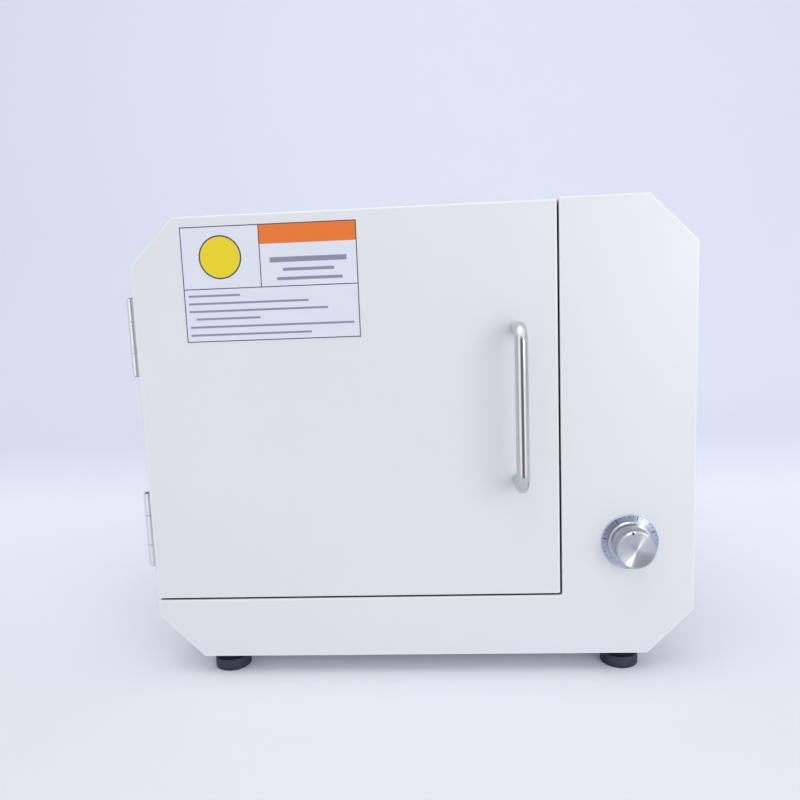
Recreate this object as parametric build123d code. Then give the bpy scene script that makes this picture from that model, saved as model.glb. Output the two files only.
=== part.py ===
from build123d import *
import os
from math import cos, pi, radians, sin, sqrt, tan

# A bench-top curing cabinet for dental work: a folded steel box with a hinged door, a lamp chamber with a
# turning table, and a narrow control column at the right. All sizes are in millimetres.
# While it is drawn, x = 0 is the middle of the front, y = 0 is the front face (y grows to the back) and
# z = 0 is the table top. Each piece is moved by row_shift when it is written.

# ---------------------------------------------------------------- cabinet box
body_width = 350.0
body_height = 290.0
body_depth = 280.0
corner_cut = 29.0          # each leg of the 45 degree corner facets
sheet = 1.2                # folded steel sheet
bend_radius = 2.4          # outside of a bend between two facets
rim_radius = 0.9           # outside of the bend round the front faces
fit_gap = 0.2              # between a panel and the box it drops into
lip_width = 12.0           # flanges that take the panel screws
tray_flange = 16.0         # how far the tray's side flanges reach up inside the cover
tray_gap = 0.6             # between those flanges and the cover's sides, clear of its lowest bend
tray_flange_root = 3.0     # how far those flanges reach down the tray's corner facets

# ---------------------------------------------------------------- front
column_width = 83.0        # fixed control column at the right
strip_height = 40.0        # fixed strip under the door
seam_gap = 1.2             # between the door and the fixed panel
door_drop = 1.2            # the door's top edge hangs this far under the cabinet's
door_depth = 10.0
door_corner_radius = 1.2
leaf_sheet = 1.0           # hinge leaves
leaf_gap = 0.4             # between the two closed leaves
front_depth = door_depth + 2 * leaf_sheet + leaf_gap

# ---------------------------------------------------------------- feet
foot_radius = 12.0
foot_height = 12.5
foot_collar_height = 4.5
foot_side_inset = 43.5
foot_end_inset = 15.5
foot_recess_radius = 5.0
foot_recess_depth = 6.0
foot_edge_radius = 0.8
foot_collar_inset = 0.5    # collar's side to the pad's side

# ---------------------------------------------------------------- hinges
hinge_length = 50.0
hinge_end_distance = 44.7  # hinge middle to each end of the door's straight left edge
hinge_set_out = 5.5        # pin axis outside the cabinet's side
knuckle_radius = 3.0
knuckle_middle = 20.0      # length of the door leaf's knuckle
knuckle_gap = 0.3
pin_radius = 1.7
pin_head_height = 0.5
pin_head_radius = 2.1
pin_running_gap = 0.05     # radial, door knuckle on pin
pin_seat_gap = 0.02        # radial, frame knuckles on pin
leaf_reach = 17.0          # pin axis to the leaf's free edge
leaf_corner_radius = 2.0
leaf_screw_inset = 4.5     # screw row to the leaf's free edge
leaf_screw_spacing = 17.0

# ---------------------------------------------------------------- door handle
handle_bar_radius = 4.0
handle_hole_spacing = 96.0
handle_standoff = 26.0     # door face to the bar's axis
handle_bend_radius = 9.0
handle_edge_distance = 25.4
handle_screw_radius = 2.0
handle_screw_length = 10.0
bore_end_gap = 1.0         # screw tip to the end of its blind bore

# ---------------------------------------------------------------- label place on the door
label_width = 111.0
label_height = 72.0
label_thickness = 0.2
label_side_inset = 33.5
label_top_inset = 7.5
label_corner_radius = 1.0

# ---------------------------------------------------------------- lamp chamber
mouth_side_inset = 25.0    # from the cabinet's left side
mouth_column_inset = 26.0  # from the control column
mouth_strip_inset = 14.0   # from the strip's top edge
mouth_top_inset = 32.0     # from the cabinet's top
mouth_corner_radius = 3.0
chamber_depth = 236.0
liner_sheet = 1.0
seal_margin = 2.0          # mouth edge to seal
seal_width = 8.0
seal_clearance = 0.3       # the closed door's seal to the frame

# ---------------------------------------------------------------- ultraviolet boards
board_length = 170.0       # along the chamber's depth
board_width = 150.0
board_sheet = 1.6
led_rows = 4
led_columns = 5
led_size = 5.0
led_height = 1.2
led_lens_radius = 2.0
led_lens_height = 1.3
led_lens_round = 1.0
board_screw_inset = 6.0

# ---------------------------------------------------------------- turntable
table_radius = 90.0
table_thickness = 3.0
table_rise = 12.0          # chamber floor to the underside of the table
table_edge_bevel = 0.4
hub_flange_radius = 20.0
hub_flange_height = 3.0
hub_boss_radius = 9.0
hub_spigot_radius = 8.0
hub_floor_gap = 2.5
hub_spigot_drop = 0.1      # spigot top under the table's top
motor_radius = 25.0
motor_height = 20.0
motor_edge_radius = 1.5
motor_boss_radius = 6.0
motor_boss_rise = 1.0      # boss above the chamber floor
motor_shaft_radius = 3.5
motor_shaft_depth = 12.0   # held inside the motor
motor_shaft_end_gap = 0.5  # shaft's lower end to the bottom of its bore
motor_ear_spacing = 60.0
motor_ear_radius = 5.0
motor_ear_sheet = 1.5
running_gap = 0.05         # radial, shafts that turn in a bore
seat_gap = 0.03            # radial, pieces pushed together

# ---------------------------------------------------------------- timer
knob_side_inset = 40.5
knob_rise = 75.0           # above the cabinet's underside
dial_radius = 17.8
dial_thickness = 1.0
dial_edge_bevel = 0.3
knob_length = 15.5
knob_radius = 12.0
knob_face_gap = 0.5        # dial plate to knob
knob_skirt_radius = 14.0
knob_skirt_height = 2.2
knob_skirt_bevel = 0.9
knob_groove_radius = 11.0
knob_groove_height = 1.0
knob_front_bevel = 1.0
knob_flutes = 60
knob_flute_depth = 0.3
knob_recess_radius = 9.0
knob_recess_depth = 5.0
pointer_angle = 102.0      # degrees from +x, as the knob is set
pointer_radius = 0.7
pointer_inset = 1.75
spindle_radius = 3.0
spindle_end_gap = 2.5      # spindle tip to the knob's front face
spindle_depth = 6.0        # held inside the potentiometer
spindle_bore_depth = 7.0
bushing_radius = 4.5
bushing_reach = 5.0        # beyond the dial plate
pot_radius = 12.0
pot_depth = 10.0
pot_edge_radius = 1.2
pot_lugs = 3
pot_lug_pitch = 5.0
pot_lug_width = 2.4
pot_lug_sheet = 0.8
pot_lug_reach = 5.0        # below the potentiometer's body
pot_lug_root = 2.0         # sunk into the body
pot_lug_set_back = 3.3     # panel's back to the lugs
timer_nut_width = 12.0
timer_nut_height = 2.2
hole_clearance = 0.1       # radial, in holes that screws and bushings pass

# ---------------------------------------------------------------- fan
fan_size = 80.0
fan_depth = 25.0
fan_corner_radius = 5.0
fan_bore_radius = 38.5
fan_rise = 205.0           # fan middle above the cabinet's underside
fan_side_inset = 54.0      # fan middle to the cabinet's right side
fan_screw_spacing = 71.5
fan_screw_radius = 2.2
fan_screw_length = 12.0
fan_strut_width = 4.0
fan_strut_depth = 3.0
fan_strut_root = 1.0       # each end of a strut sunk into the frame or the stator
stator_base_radius = 18.5
stator_radius = 13.0
stator_height = 11.0
rotor_radius = 18.0
rotor_wall = 1.5
rotor_edge_radius = 1.5
rotor_length = 17.0
rotor_gap = 1.0            # rotor rim to the stator's base
rotor_shaft_radius = 1.5
fan_blades = 7
blade_chord = 15.0
blade_thickness = 1.4
blade_pitch = 38.0
blade_tip_gap = 1.5
guard_wire_radius = 0.8
guard_bar_radius = 0.7
guard_rings = 4
guard_ring_rise = 1.44     # rear panel to the ring wires' middle, so that they lie on the bars
guard_eye_radius = 3.2

# ---------------------------------------------------------------- power inlet
inlet_side_inset = 36.0
inlet_rise = 30.0
inlet_flange_radius = 7.0
inlet_flange_height = 1.5
inlet_barrel_radius = 5.5
inlet_length = 16.0
inlet_bore_radius = 3.2
inlet_bore_depth = 11.0
inlet_pin_radius = 1.25
inlet_pin_length = 9.5
inlet_nut_width = 14.0
inlet_nut_height = 2.5

# ---------------------------------------------------------------- control board
circuit_length = 90.0
circuit_height = 70.0
circuit_front = 90.0       # front edge, behind the front face
circuit_rise = 110.0       # lower edge above the cabinet's underside
standoff_length = 8.0
standoff_radius = 3.0
terminal_height = 9.0
terminal_depth = 10.0
terminal_pitch = 12.0
terminal_count = 4
terminal_hole_radius = 2.5
terminal_hole_depth = 3.3
relay_size = (15.0, 19.0, 15.5)
relay_rise = 38.0
relay_edge_radius = 0.8

# ---------------------------------------------------------------- internal cables
cable_radius = 1.75
cable_bend_share = 0.45    # how much of the shorter run beside a bend its arc may take
timer_cable_run = 34.0     # straight out of the potentiometer
timer_cable_turn = (-34.0, 34.0, 3.0)
timer_cable_rise = 32.0    # straight up into the terminals
motor_cable_run = 50.0
motor_cable_lift = 2.0     # the far bend above the motor's middle
motor_cable_rise = 66.0
inlet_cable_run = 38.0
inlet_cable_turn = (-30.0, -34.0, 10.0)
inlet_cable_rise = 52.0
fan_cable_side = 25.0      # left of the fan's middle
fan_cable_run = 40.0
fan_cable_turn = (-6.0, -50.0, -32.0)
fan_cable_rise = 30.0

# ---------------------------------------------------------------- screws, catch and vents
screw_radius = 1.5
screw_length = 6.0
screw_head_radius = 2.8
screw_head_height = 1.8
catch_length = 40.0
catch_width = 10.0
catch_depth = 12.0
catch_ear = 8.0
catch_ear_sheet = 1.5
catch_screw_length = 3.0
catch_gap = 0.3            # catch to the closed door
catch_column_inset = 3.0   # catch to the column's edge
vent_width = 3.0
vent_length = 34.0
vent_pitch = 8.0
vent_count = 9
vent_corner_radius = 1.45
column_vent_rise = 96.0    # middle of the slots under the fan, above the cabinet's underside
rear_screw_height_share = 0.27
rear_screw_width_share = 0.26
side_screw_share = 0.25

# ---------------------------------------------------------------- places that follow from the sizes
left = -body_width / 2
right = body_width / 2
bottom = foot_height
top = foot_height + body_height
strip_top = bottom + strip_height
column_left = right - column_width
door_right = column_left - seam_gap
door_low = strip_top + seam_gap
door_high = top - door_drop
frame_back = front_depth + sheet
mouth_left = left + mouth_side_inset
mouth_right = column_left - mouth_column_inset
mouth_low = strip_top + mouth_strip_inset
mouth_high = top - mouth_top_inset
chamber_back = frame_back + chamber_depth
table_x = (mouth_left + mouth_right) / 2
table_y = (frame_back + chamber_back) / 2
table_z = mouth_low + table_rise
chamber_mid_z = (mouth_low + mouth_high) / 2
rear_inner = body_depth - sheet
hinge_x = left - hinge_set_out
hinge_y = door_depth + leaf_sheet + leaf_gap / 2
hinge_heights = {
    "upper": door_high - corner_cut - hinge_end_distance,
    "lower": door_low + hinge_end_distance,
}
knob_x = right - knob_side_inset
knob_z = bottom + knob_rise
knob_back = -dial_thickness - knob_face_gap
knob_front = knob_back - knob_length
fan_x = right - fan_side_inset
fan_z = bottom + fan_rise
inlet_x = right - inlet_side_inset
inlet_z = bottom + inlet_rise
circuit_x = mouth_right + liner_sheet + standoff_length
circuit_z = bottom + circuit_rise
catch_x = (column_left - seam_gap - catch_column_inset) - catch_width / 2
catch_z = (door_low + door_high) / 2

# the origin of the written pieces: on the table, under the middle of everything that sticks out
handle_reach = handle_standoff + handle_bar_radius
rear_reach = 2 * guard_wire_radius + screw_head_height
hinge_reach = hinge_set_out + knuckle_radius
row_shift = Pos(
    (hinge_reach - screw_head_height) / 2,
    (handle_reach - rear_reach - body_depth) / 2,
    0,
)


# ---------------------------------------------------------------- drawing helpers
def block(x, y, z):
    """A box between the low and high values of x, y and z."""
    middle = Pos((x[0] + x[1]) / 2, (y[0] + y[1]) / 2, (z[0] + z[1]) / 2)
    return middle * Box(x[1] - x[0], y[1] - y[0], z[1] - z[0])


def inset(corners, distance):
    """Corners of an anticlockwise outline whose sides all lie distance further in."""
    moved = []
    for i, corner in enumerate(corners):
        here = Vector(*corner)
        coming = (here - Vector(*corners[i - 1])).normalized()
        going = (Vector(*corners[(i + 1) % len(corners)]) - here).normalized()
        normal_in = Vector(-coming.Y, coming.X)
        normal_out = Vector(-going.Y, going.X)
        step = (normal_in + normal_out) * (distance / (1 + normal_in.dot(normal_out)))
        moved.append((here.X + step.X, here.Y + step.Y))
    return moved


def slab(corners, y_front, y_back, radius=0.0):
    """An outline in x and z, given depth from y_front to y_back, with its corners rounded."""
    face = make_face(Polyline(*[(x, y_front, z) for x, z in corners], close=True))
    solid = extrude(face, y_back - y_front, dir=(0, 1, 0))
    if radius > 0:
        solid = fillet(solid.edges().filter_by(Axis.Y), radius)
    return solid


def rectangle(x, z):
    return [(x[0], z[0]), (x[1], z[0]), (x[1], z[1]), (x[0], z[1])]


def rod(start, direction, length, radius):
    """A cylinder that leaves start along direction."""
    place = Plane(origin=start, z_dir=direction)
    return place * Cylinder(radius, length, align=(Align.CENTER, Align.CENTER, Align.MIN))


def hexagon(start, direction, height, width):
    place = Plane(origin=start, z_dir=direction)
    return place * extrude(RegularPolygon(width / 2, 6, major_radius=False), height)


def pan_screw(seat, inward, radius=screw_radius, length=screw_length):
    """A pan-head screw whose head rests on seat and whose shank goes inward, with a cross recess."""
    head_radius = screw_head_radius * radius / screw_radius
    head = Cylinder(head_radius, screw_head_height, align=(Align.CENTER, Align.CENTER, Align.MAX))
    head = fillet(head.edges().group_by(Axis.Z)[0], screw_head_height / 2.5)
    recess_depth = screw_head_height / 2
    recess = Pos(0, 0, -screw_head_height) * (
        Box(head_radius, head_radius / 4, recess_depth * 2)
        + Box(head_radius / 4, head_radius, recess_depth * 2)
    )
    shank = Cylinder(radius, length, align=(Align.CENTER, Align.CENTER, Align.MIN))
    return Plane(origin=seat, z_dir=inward) * (head - recess + shank)


def countersink(seat, inward, radius, depth):
    """The cone of a flush screw head, at its widest on seat."""
    place = Plane(origin=seat, z_dir=inward)
    return place * Cone(
        screw_head_radius + radius - screw_radius,
        radius,
        depth,
        align=(Align.CENTER, Align.CENTER, Align.MIN),
    )


def cable(points, radius=cable_radius):
    """A round cable on straight runs joined by tangent arcs as large as the runs allow."""
    radii = []
    for before, here, after in zip(points, points[1:], points[2:]):
        run_in = Vector(*here) - Vector(*before)
        run_out = Vector(*after) - Vector(*here)
        shorter = min(run_in.length, run_out.length)
        radii.append(cable_bend_share * shorter / tan(radians(run_in.get_angle(run_out)) / 2))
    path = FilletPolyline(*points, radius=radii)
    section = Plane(origin=path @ 0, z_dir=path % 0) * Circle(radius)
    print("cable bend radii", [round(r, 1) for r in radii])
    return sweep(section, path)


def save(name, *solids):
    """Writes one node, moved to the row's origin."""
    placed = [row_shift * solid for shape in solids for solid in shape.solids()]
    export_step(placed[0] if len(placed) == 1 else Compound(children=placed), f"parts/{name}.step")


# ---------------------------------------------------------------- outlines
def cabinet_outline():
    return [
        (left + corner_cut, bottom),
        (right - corner_cut, bottom),
        (right, bottom + corner_cut),
        (right, top - corner_cut),
        (right - corner_cut, top),
        (left + corner_cut, top),
        (left, top - corner_cut),
        (left, bottom + corner_cut),
    ]


def cabinet_ring(inner, outer, y_front, y_back):
    """The part of the cabinet's section between two insets."""
    whole = slab(inset(cabinet_outline(), inner), y_front, y_back, bend_radius - inner)
    core = slab(inset(cabinet_outline(), outer), y_front, y_back, max(bend_radius - outer, 0))
    return whole - core


def fixed_panel_outline():
    return [
        (left, bottom + corner_cut),
        (left + corner_cut, bottom),
        (right - corner_cut, bottom),
        (right, bottom + corner_cut),
        (right, top - corner_cut),
        (right - corner_cut, top),
        (column_left, top),
        (column_left, strip_top),
        (left, strip_top),
    ]


def door_outline():
    return [
        (left, door_low),
        (door_right, door_low),
        (door_right, door_high),
        (left + corner_cut, door_high),
        (left, door_high - corner_cut),
    ]


def front_pan(corners, depth):
    """A shallow folded pan: the face at y = 0 and its edges turned back."""
    outer = slab(corners, 0, depth, door_corner_radius)
    rim = outer.faces().sort_by(Axis.Y)[0].outer_wire().edges()
    return fillet(rim, rim_radius) - slab(inset(corners, sheet), sheet, depth)


above_tray = block((2 * left, 2 * right), (-body_depth, 2 * body_depth), (bottom + corner_cut, 2 * top))
tray_level = block((2 * left, 2 * right), (-body_depth, 2 * body_depth), (-bottom, bottom + corner_cut))


# ---------------------------------------------------------------- screw places
def rear_screw_places():
    """On the flanges behind the rear panel: two at the top, two at each side, two at the bottom."""
    centre_inset = sheet + lip_width / 2
    places = []
    for side in (-1, 1):
        for share in (rear_screw_height_share, 1 - rear_screw_height_share):
            places.append((side * (right - centre_inset), bottom + body_height * share))
        places.append((side * body_width * rear_screw_width_share, bottom + centre_inset))
        places.append((side * body_width * rear_screw_width_share, top - centre_inset))
    return places


def side_screw_places():
    """Through the cover's sides into the tray's flanges."""
    return [
        (side, y, bottom + corner_cut + tray_flange / 2)
        for side in (-1, 1)
        for y in (body_depth * side_screw_share, body_depth * (1 - side_screw_share))
    ]


def foot_places():
    return {
        f"{end}_{side_name}": (side * (right - foot_side_inset), y)
        for end, y in (("front", foot_end_inset), ("rear", body_depth - foot_end_inset))
        for side_name, side in (("left", -1), ("right", 1))
    }


def fan_screw_places():
    half = fan_screw_spacing / 2
    return [(fan_x + i * half, fan_z + j * half) for i in (-1, 1) for j in (-1, 1)]


def uv_board_planes():
    """Each board's plane lies on the chamber wall with z into the chamber and x along the depth."""
    return {
        "left": Plane((mouth_left, table_y, chamber_mid_z), x_dir=(0, 1, 0), z_dir=(1, 0, 0)),
        "right": Plane((mouth_right, table_y, chamber_mid_z), x_dir=(0, 1, 0), z_dir=(-1, 0, 0)),
        "top": Plane((table_x, table_y, mouth_high), x_dir=(0, 1, 0), z_dir=(0, 0, -1)),
    }


def board_corner_places():
    x = board_length / 2 - board_screw_inset
    y = board_width / 2 - board_screw_inset
    return [(i * x, j * y) for i in (-1, 1) for j in (-1, 1)]


def circuit_corner_places():
    return [
        (y, z)
        for y in (circuit_front + board_screw_inset, circuit_front + circuit_length - board_screw_inset)
        for z in (circuit_z + board_screw_inset, circuit_z + circuit_height - board_screw_inset)
    ]


def motor_ear_places():
    return [(table_x + side * motor_ear_spacing / 2, table_y) for side in (-1, 1)]


def catch_screw_places():
    return [catch_z + side * (catch_length + catch_ear) / 2 for side in (-1, 1)]


def terminal_places():
    """The terminals' middles, in a row that ends clear of the board's rear screws."""
    last = circuit_front + circuit_length - board_screw_inset - terminal_pitch
    return [last - i * terminal_pitch for i in reversed(range(terminal_count))]


# ---------------------------------------------------------------- cabinet shell
def base_tray():
    wrap = cabinet_ring(0, sheet, sheet, body_depth) & tray_level
    front_lip = cabinet_ring(sheet, sheet + lip_width, sheet, 2 * sheet) & tray_level
    rear_lip = cabinet_ring(sheet, sheet + lip_width, rear_inner - sheet, rear_inner) & tray_level
    tray = wrap + front_lip + rear_lip
    for side in (-1, 1):
        flange_x = sorted((side * (right - 2 * sheet - tray_gap), side * (right - sheet - tray_gap)))
        flange_z = (bottom + corner_cut - tray_flange_root, bottom + corner_cut + tray_flange)
        tray += block(flange_x, (frame_back + sheet, rear_inner - 2 * sheet), flange_z)
    for side, y, z in side_screw_places():
        tray -= rod((side * right, y, z), (-side, 0, 0), 4 * sheet, screw_radius + hole_clearance)
    for x, z in rear_screw_places():
        tray -= rod((x, body_depth, z), (0, -1, 0), 3 * sheet, screw_radius + hole_clearance)
    for x, y in foot_places().values():
        tray -= rod((x, y, bottom - sheet), (0, 0, 1), 3 * sheet, screw_radius + hole_clearance)
    for i in range(vent_count):
        x = table_x + (i - (vent_count - 1) / 2) * vent_pitch
        tray -= block(
            (x - vent_width / 2, x + vent_width / 2),
            (table_y - vent_length, table_y + vent_length),
            (0, bottom + 2 * sheet),
        )
    return tray


def top_cover():
    wrap = cabinet_ring(0, sheet, front_depth, body_depth) & above_tray
    lip = cabinet_ring(sheet, sheet + lip_width, rear_inner - sheet, rear_inner) & above_tray
    cover = wrap + lip
    for side, y, z in side_screw_places():
        cover -= rod((side * (right + sheet), y, z), (-side, 0, 0), 3 * sheet, screw_radius + hole_clearance)
    for x, z in rear_screw_places():
        cover -= rod((x, body_depth, z), (0, -1, 0), 3 * sheet, screw_radius + hole_clearance)
    return cover


def front_panel():
    panel = front_pan(fixed_panel_outline(), front_depth)
    tray_side = slab(cabinet_outline(), sheet, front_depth) & tray_level
    panel -= tray_side - block((2 * left, 2 * right), (0, front_depth), (strip_top - sheet, top))
    return panel - rod((knob_x, -sheet, knob_z), (0, 1, 0), 3 * sheet, bushing_radius + hole_clearance)


def front_frame():
    outline = inset(cabinet_outline(), sheet + fit_gap)
    plate = slab(outline, front_depth, frame_back, bend_radius - sheet - fit_gap)
    plate &= block(
        (left, column_left + lip_width),
        (0, body_depth),
        (strip_top - lip_width, top),
    )
    plate -= slab(
        rectangle((mouth_left, mouth_right), (mouth_low, mouth_high)),
        front_depth,
        frame_back,
        mouth_corner_radius,
    )
    half = catch_length / 2 + hole_clearance
    plate -= block(
        (catch_x - catch_width / 2 - hole_clearance, catch_x + catch_width / 2 + hole_clearance),
        (0, body_depth),
        (catch_z - half, catch_z + half),
    )
    for z in catch_screw_places():
        plate -= rod((catch_x, 0, z), (0, 1, 0), body_depth, screw_radius + hole_clearance)
    for height in hinge_heights.values():
        for x, z in leaf_screw_places(height):
            plate -= rod((x, 0, z), (0, 1, 0), body_depth, screw_radius + hole_clearance)
    return plate


def rear_panel():
    outline = inset(cabinet_outline(), sheet + fit_gap)
    panel = slab(outline, rear_inner, body_depth, bend_radius - sheet - fit_gap)
    for x, z in rear_screw_places():
        panel -= rod((x, body_depth, z), (0, -1, 0), 2 * sheet, screw_radius + hole_clearance)
    panel -= rod((fan_x, rear_inner - sheet, fan_z), (0, 1, 0), 3 * sheet, fan_bore_radius)
    for x, z in fan_screw_places():
        panel -= rod((x, rear_inner - sheet, z), (0, 1, 0), 3 * sheet, fan_screw_radius + hole_clearance)
    inlet_radius = inlet_barrel_radius + hole_clearance
    panel -= rod((inlet_x, rear_inner - sheet, inlet_z), (0, 1, 0), 3 * sheet, inlet_radius)
    for middle_x, middle_z in ((table_x, bottom + corner_cut), (fan_x, bottom + column_vent_rise)):
        height = (middle_z - vent_length / 2, middle_z + vent_length / 2)
        for i in range(vent_count):
            x = middle_x + (i - (vent_count - 1) / 2) * vent_pitch
            slot = rectangle((x - vent_width / 2, x + vent_width / 2), height)
            panel -= slab(slot, rear_inner - sheet, body_depth + sheet, vent_corner_radius)
    return panel


def panel_screws():
    screws = [pan_screw((x, body_depth, z), (0, -1, 0)) for x, z in rear_screw_places()]
    screws += [pan_screw((side * right, y, z), (-side, 0, 0)) for side, y, z in side_screw_places()]
    return screws


# ---------------------------------------------------------------- feet
def foot(x, y):
    """A round rubber foot with a collar under the cabinet and a recess for its screw."""
    pad_height = foot_height - foot_collar_height
    pad = Cylinder(foot_radius, pad_height, align=(Align.CENTER, Align.CENTER, Align.MIN))
    pad = fillet(pad.edges(), foot_edge_radius)
    collar = Pos(0, 0, pad_height / 2) * Cylinder(
        foot_radius - foot_collar_inset,
        foot_height - pad_height / 2,
        align=(Align.CENTER, Align.CENTER, Align.MIN),
    )
    recess = Cylinder(foot_recess_radius, foot_recess_depth, align=(Align.CENTER, Align.CENTER, Align.MIN))
    hole = Cylinder(screw_radius + hole_clearance, 3 * foot_height)
    return Pos(x, y, 0) * (pad + collar - recess - hole)


def foot_screws():
    length = foot_height - foot_recess_depth + screw_length
    seats = [(x, y, foot_recess_depth) for x, y in foot_places().values()]
    return [pan_screw(seat, (0, 0, 1), length=length) for seat in seats]


# ---------------------------------------------------------------- chamber
def chamber_floor():
    floor = block(
        (mouth_left - liner_sheet, mouth_right + liner_sheet),
        (frame_back, chamber_back),
        (mouth_low - liner_sheet, mouth_low),
    )
    floor -= rod((table_x, table_y, 0), (0, 0, 1), top, motor_boss_radius + 4 * hole_clearance)
    below = mouth_low - 2 * liner_sheet
    for x, y in motor_ear_places():
        floor -= rod((x, y, below), (0, 0, 1), 3 * liner_sheet, screw_radius + hole_clearance)
    return floor


def board_wall(wall, plane):
    """Drills a chamber wall for its board's screws."""
    for x, y in board_corner_places():
        wall -= plane * Pos(x, y, 0) * Cylinder(screw_radius + hole_clearance, 6 * liner_sheet)
    return wall


def chamber_walls():
    planes = uv_board_planes()
    depth = (frame_back, chamber_back)
    height = (mouth_low, mouth_high)
    left_wall = block((mouth_left - liner_sheet, mouth_left), depth, height)
    right_wall = block((mouth_right, mouth_right + liner_sheet), depth, height)
    top_wall = block(
        (mouth_left - liner_sheet, mouth_right + liner_sheet), depth, (mouth_high, mouth_high + liner_sheet)
    )
    back_wall = block(
        (mouth_left - liner_sheet, mouth_right + liner_sheet),
        (chamber_back, chamber_back + liner_sheet),
        (mouth_low - liner_sheet, mouth_high + liner_sheet),
    )
    inside = mouth_right - liner_sheet
    for y, z in circuit_corner_places():
        right_wall -= rod((inside, y, z), (1, 0, 0), 3 * liner_sheet, screw_radius + hole_clearance)
    return {
        "chamber_left_wall": board_wall(left_wall, planes["left"]),
        "chamber_right_wall": board_wall(right_wall, planes["right"]),
        "chamber_top_wall": board_wall(top_wall, planes["top"]),
        "chamber_back_wall": back_wall,
    }


def uv_board(plane):
    board = Pos(0, 0, board_sheet / 2) * Box(board_length, board_width, board_sheet)
    for x, y in board_corner_places():
        board -= Pos(x, y, 0) * Cylinder(screw_radius + hole_clearance, 4 * board_sheet)
    return plane * board


def uv_leds(plane):
    """Square lamp packages with a round lens, in rows and columns over the board."""
    package = Pos(0, 0, led_height / 2) * Box(led_size, led_size, led_height)
    lens = Pos(0, 0, led_height) * Cylinder(
        led_lens_radius, led_lens_height, align=(Align.CENTER, Align.CENTER, Align.MIN)
    )
    lens = fillet(lens.edges().group_by(Axis.Z)[-1], led_lens_round)
    led = package + lens
    places = GridLocations(board_length / led_columns, board_width / led_rows, led_columns, led_rows)
    return [plane * Pos(0, 0, board_sheet) * place * led for place in places]


# ---------------------------------------------------------------- turntable
def turntable_motor():
    underside = mouth_low - liner_sheet
    body = rod((table_x, table_y, underside), (0, 0, -1), motor_height, motor_radius)
    body = fillet(body.edges().group_by(Axis.Z)[0], motor_edge_radius)
    boss_top = mouth_low + motor_boss_rise
    boss_low = underside - motor_height / 2
    body += rod((table_x, table_y, boss_low), (0, 0, 1), boss_top - boss_low, motor_boss_radius)
    ear_plate = block(
        (table_x - motor_ear_spacing / 2, table_x + motor_ear_spacing / 2),
        (table_y - motor_ear_radius, table_y + motor_ear_radius),
        (underside - motor_ear_sheet, underside),
    )
    body += ear_plate
    for x, y in motor_ear_places():
        body += rod((x, y, underside), (0, 0, -1), motor_ear_sheet, motor_ear_radius)
        body -= rod((x, y, underside), (0, 0, -1), motor_height, screw_radius + hole_clearance)
    bore_radius = motor_shaft_radius + running_gap
    return body - rod((table_x, table_y, boss_top), (0, 0, -1), motor_shaft_depth, bore_radius)


def motor_shaft():
    low = mouth_low + motor_boss_rise - motor_shaft_depth + motor_shaft_end_gap
    return rod((table_x, table_y, low), (0, 0, 1), table_z - low, motor_shaft_radius)


def turntable_hub():
    low = mouth_low + hub_floor_gap
    hub = rod((table_x, table_y, low), (0, 0, 1), table_z - low, hub_boss_radius)
    hub += rod((table_x, table_y, table_z), (0, 0, -1), hub_flange_height, hub_flange_radius)
    spigot_height = table_thickness - hub_spigot_drop
    hub += rod((table_x, table_y, table_z), (0, 0, 1), spigot_height, hub_spigot_radius)
    return hub - rod((table_x, table_y, low), (0, 0, 1), table_z - low, motor_shaft_radius + seat_gap)


def turntable_disc():
    disc = rod((table_x, table_y, table_z), (0, 0, 1), table_thickness, table_radius)
    disc = chamfer(disc.edges(), table_edge_bevel)
    hole_radius = hub_spigot_radius + hole_clearance
    return disc - rod((table_x, table_y, table_z), (0, 0, 1), table_thickness, hole_radius)


# ---------------------------------------------------------------- timer
def timer_potentiometer():
    body = rod((knob_x, sheet, knob_z), (0, 1, 0), pot_depth, pot_radius)
    body = fillet(body.edges().group_by(Axis.Y)[-1], pot_edge_radius)
    lug_z = knob_z - pot_radius
    lug_y = sheet + pot_lug_set_back
    for i in range(pot_lugs):
        x = knob_x + (i - (pot_lugs - 1) / 2) * pot_lug_pitch
        body += block(
            (x - pot_lug_width / 2, x + pot_lug_width / 2),
            (lug_y, lug_y + pot_lug_sheet),
            (lug_z - pot_lug_reach, lug_z + pot_lug_root),
        )
    tip = -dial_thickness - bushing_reach
    body += rod((knob_x, sheet, knob_z), (0, -1, 0), sheet - tip, bushing_radius)
    bore_length = sheet + spindle_bore_depth - tip
    return body - rod((knob_x, tip, knob_z), (0, 1, 0), bore_length, spindle_radius + running_gap)


def timer_nut():
    nut = hexagon((knob_x, -dial_thickness, knob_z), (0, -1, 0), timer_nut_height, timer_nut_width)
    hole_length = 2 * dial_thickness + timer_nut_height
    return nut - rod((knob_x, 0, knob_z), (0, -1, 0), hole_length, bushing_radius + seat_gap)


def dial_plate():
    plate = rod((knob_x, 0, knob_z), (0, -1, 0), dial_thickness, dial_radius)
    plate = chamfer(plate.edges().group_by(Axis.Y)[0], dial_edge_bevel)
    return plate - rod((knob_x, 0, knob_z), (0, -1, 0), dial_thickness, bushing_radius + hole_clearance)


def timer_spindle():
    back = sheet + spindle_depth
    front = knob_front + spindle_end_gap
    return rod((knob_x, back, knob_z), (0, -1, 0), back - front, spindle_radius)


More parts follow.
